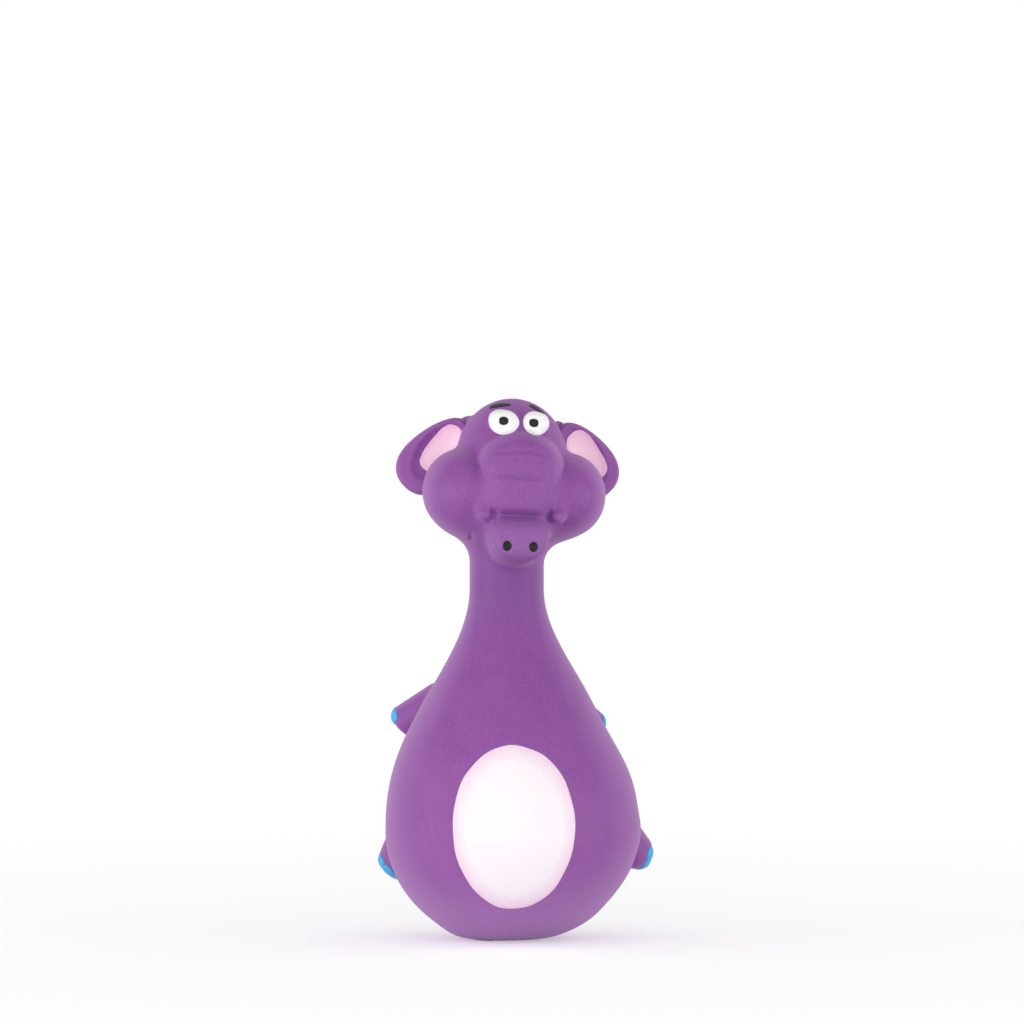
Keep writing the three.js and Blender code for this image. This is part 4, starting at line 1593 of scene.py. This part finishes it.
@dataclass(frozen=True)
class Ear:
    """One ear with its pink pad, growing out of the head."""

    side: Side
    head: Head
    flap: EarFlap = EarFlap()
    side_reach: float = 18.65
    back: float = 8.75
    rise: float = 118.15
    droop: float = 49.0
    sweep: float = 25.0
    cell: float = 0.4
    wrap_low: Vec = (-13.0, -9.5, -4.0)
    wrap_high: Vec = (13.5, 9.5, 6.0)
    root_inset: float = 1.7
    root_behind: float = 1.7
    root_radii: Vec = (2.6, 1.6, 1.1)
    root_fillet: float = 3.6
    pad: Outline = Outline(6.9, 3.75, 2.4, taper=-0.08, bend=0.3, wobble=0.008)
    pad_at: Vec = (-2.2, -0.7, 4.0)
    pad_coat: Coat = Coat(rings=20, spokes=80, reach=16.0)
    bend_start: float = -7.0
    bend_end: float = 1.0

    def placed(self) -> Placed:
        """The ear's own axes set on the head: x to its tip, y up, z to the front."""
        down, back = math.radians(self.droop), math.radians(self.sweep)
        level = np.array([self.side.value * math.cos(back), math.sin(back), 0.0])
        along = level * math.cos(down) - np.array([0.0, 0.0, math.sin(down)])
        front = unit(np.cross(along, (0.0, 0.0, 1.0)) * self.side.value)
        if front[1] > 0.0:
            front = -front
        over = np.cross(front, along) * self.side.value
        head = self.head.placed(self.flap)
        middle = head.outside((self.side.value * self.side_reach, self.back, self.rise))
        return Placed(self.flap, tuple(middle), head.axes @ np.stack([along, over, front], 1))

    def root(self) -> Layer:
        """The swelling of the head that the ear grows from."""
        place = self.placed()
        middle = place.outside((self.root_inset - self.flap.half_length, 0.0, -self.root_behind))
        return Layer(Egg(tuple(middle), self.root_radii, place.axes), self.root_fillet)

    def build(self) -> None:
        """Makes the ear's skin and its pad."""
        place = self.placed()
        own_points, faces = Net(self.cell).wrap(self.flap, self.wrap_low, self.wrap_high)
        if np.linalg.det(place.axes) < 0.0:
            faces = faces[:, ::-1]
        skin = make_piece(f"{self.side.label}_ear_skin", place.outside(own_points), faces, LATEX)
        polish(skin, place)
        self.bend(skin)
        stands_for(skin, LATEX, f"{self.side.label}_ear")
        name = f"{self.side.label}_ear_pad_paint"
        right, up = place.axes[:, 0] * self.side.value, place.axes[:, 1]
        outline = replace(self.pad, taper=self.pad.taper * self.side.value)
        pad = Film(name, place.outside(self.pad_at), right, up, outline, PINK, self.pad_coat).lay(place)
        self.bend(pad)
        stands_for(pad, PINK, f"{self.side.label}_ear_pad")

    def bend(self, piece: Piece) -> None:
        """Works out where the ear would bend, from the head to its flap, and bakes the piece's placing into
        its points.
        """
        place = self.placed()
        start = place.outside((self.bend_start, 0.0, 0.0)) * MM
        end = place.outside((self.bend_end, 0.0, 0.0)) * MM
        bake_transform(piece)


@dataclass(frozen=True)
class Squeaker:
    """The plastic squeaker in the base, whose solids stay as they are."""

    moulded: tuple[str, ...] = ("squeaker_plug", "reed_block", "reed_clamp", "squeaker_cap")
    film: tuple[str, ...] = ("reed_leaf",)
    plastic: Finish = MouldedPlastic(Slot.PLASTIC, "moulded_polythene")
    sheet: Finish = ReedSheet(Slot.REED, "rolled_polyester")

    def dress(self) -> None:
        """Gives each solid its finish."""
        for names, finish in ((self.moulded, self.plastic), (self.film, self.sheet)):
            for name in names:
                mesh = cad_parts[name].data
                mesh.materials.clear()
                mesh.materials.append(finish.material())
                log.info("%s: %s", name, finish.title)


@dataclass(frozen=True)
class Strip:
    """A low strip light that points at the toy, in metres and watts."""

    name: str
    at: Vec
    width: float
    power: float
    height: float = 0.09
    towards: Vec = (0.0, 0.0, 0.05)

    def hang(self) -> None:
        """Adds the lamp to the scene."""
        light = bpy.data.lights.new(self.name, "AREA")
        light.shape = "RECTANGLE"
        light.size, light.size_y = self.width, self.height
        light.energy = self.power
        lamp = bpy.data.objects.new(self.name, light)
        back = unit(np.array(self.at) - np.array(self.towards))
        across = unit(np.cross((0.0, 0.0, 1.0), back))
        matrix = np.eye(4)
        matrix[:3, 0] = across
        matrix[:3, 1] = np.cross(back, across)
        matrix[:3, 2] = back
        matrix[:3, 3] = self.at
        lamp.matrix_world = matrix.T.tolist()
        bpy.context.scene.collection.objects.link(lamp)


@dataclass(frozen=True)
class Studio:
    """A white sweep under soft lamps, and the camera, in metres."""

    distance: float = 1.2
    eye_height: float = 0.1046
    view_width: float = 0.2509
    view_end: float = 50.0
    sensor: float = 36.0
    floor_half: float = 4.0
    paper: PaperSweep = PaperSweep(None, "white_paper_sweep")
    room: Ramp = Ramp(least=0.575)
    room_colour: str = "#FFFFFF"
    strips: tuple[Strip, ...] = (
        Strip("front_strip", (-0.1, -1.5, 0.12), width=1.2, power=5.3),
        Strip("left_strip", (-1.2, -0.55, 0.05), width=1.0, power=6.3),
        Strip("right_strip", (1.2, -0.55, 0.05), width=1.0, power=4.8),
    )

    def build(self) -> None:
        """Sets up floor, lamps, world and camera."""
        self.floor()
        for strip in self.strips:
            strip.hang()
        self.world()
        self.camera()
        bpy.context.scene.view_settings.view_transform = "Standard"

    def floor(self) -> None:
        """Lays the paper that the toy stands on."""
        half = self.floor_half / MM
        corners = np.array([[-half, -half, 0.0], [half, -half, 0.0], [half, half, 0.0], [-half, half, 0.0]])
        sheet = make_piece("floor", corners, [[0, 1, 2, 3]], self.paper)

    def world(self) -> None:
        """Even light from all round, seen as plain white."""
        world = bpy.data.worlds.new("white_room")
        bpy.context.scene.world = world
        world.use_nodes = True
        tree = world.node_tree
        tree.nodes.clear()
        strength = add_node(tree, "MapRange", inputs=self.room.inputs(seen(tree))).outputs[0]
        inputs = {"Color": linear(self.room_colour), "Strength": strength}
        room = add_node(tree, "Background", inputs=inputs)
        add_node(tree, "OutputWorld", inputs={"Surface": room.outputs[0]})

    def camera(self) -> None:
        """A long lens, level with the toy's head."""
        lens = bpy.data.cameras.new("camera")
        lens.sensor_width = self.sensor
        lens.lens = self.sensor * self.distance / self.view_width
        lens.clip_end = self.view_end
        camera = bpy.data.objects.new("camera", lens)
        camera.location = (0.0, -self.distance, self.eye_height)
        camera.rotation_euler = (math.pi / 2.0, 0.0, 0.0)
        bpy.context.scene.collection.objects.link(camera)
        bpy.context.scene.camera = camera


def main() -> None:
    """Builds and dresses the toy, then its studio."""
    logging.basicConfig(level=logging.INFO, format="%(name)s: %(message)s")
    low, high = node_box("torso_shell")
    ring_low, ring_high = node_box("neck_upper_ring")
    pear = Pear(
        half_width=(high[0] - low[0]) / 2.0,
        half_depth=(high[1] - low[1]) / 2.0,
        neck_radius=(ring_high[0] - ring_low[0]) / 2.0,
        lean=(ring_low[0] + ring_high[0]) / 2.0,
    )
    Torso(pear).build()
    head = Head(pear)
    left_ear = Ear(
        Side.LEFT,
        head,
        EarFlap(half_length=10.6),
        side_reach=18.4,
        back=8.65,
        rise=118.5,
        pad_at=(-0.7, 0.4, 4.0),
    )
    ears = [Ear(Side.RIGHT, head), left_ear]
    form = head.form(ears)
    neck = Neck(pear, high[2])
    lowest = (*head.wrap_low, high[2] - head.wrap_under)
    points, faces = Net(head.cell).wrap(form, lowest, head.wrap_high)
    stalk = make_piece("stalk", points, faces, LATEX)
    neck.build(stalk, form)
    head.build(stalk, form, neck)
    for ear in ears:
        ear.build()
    Squeaker().dress()
    Studio().build()


if __name__ == "__main__":
    main()
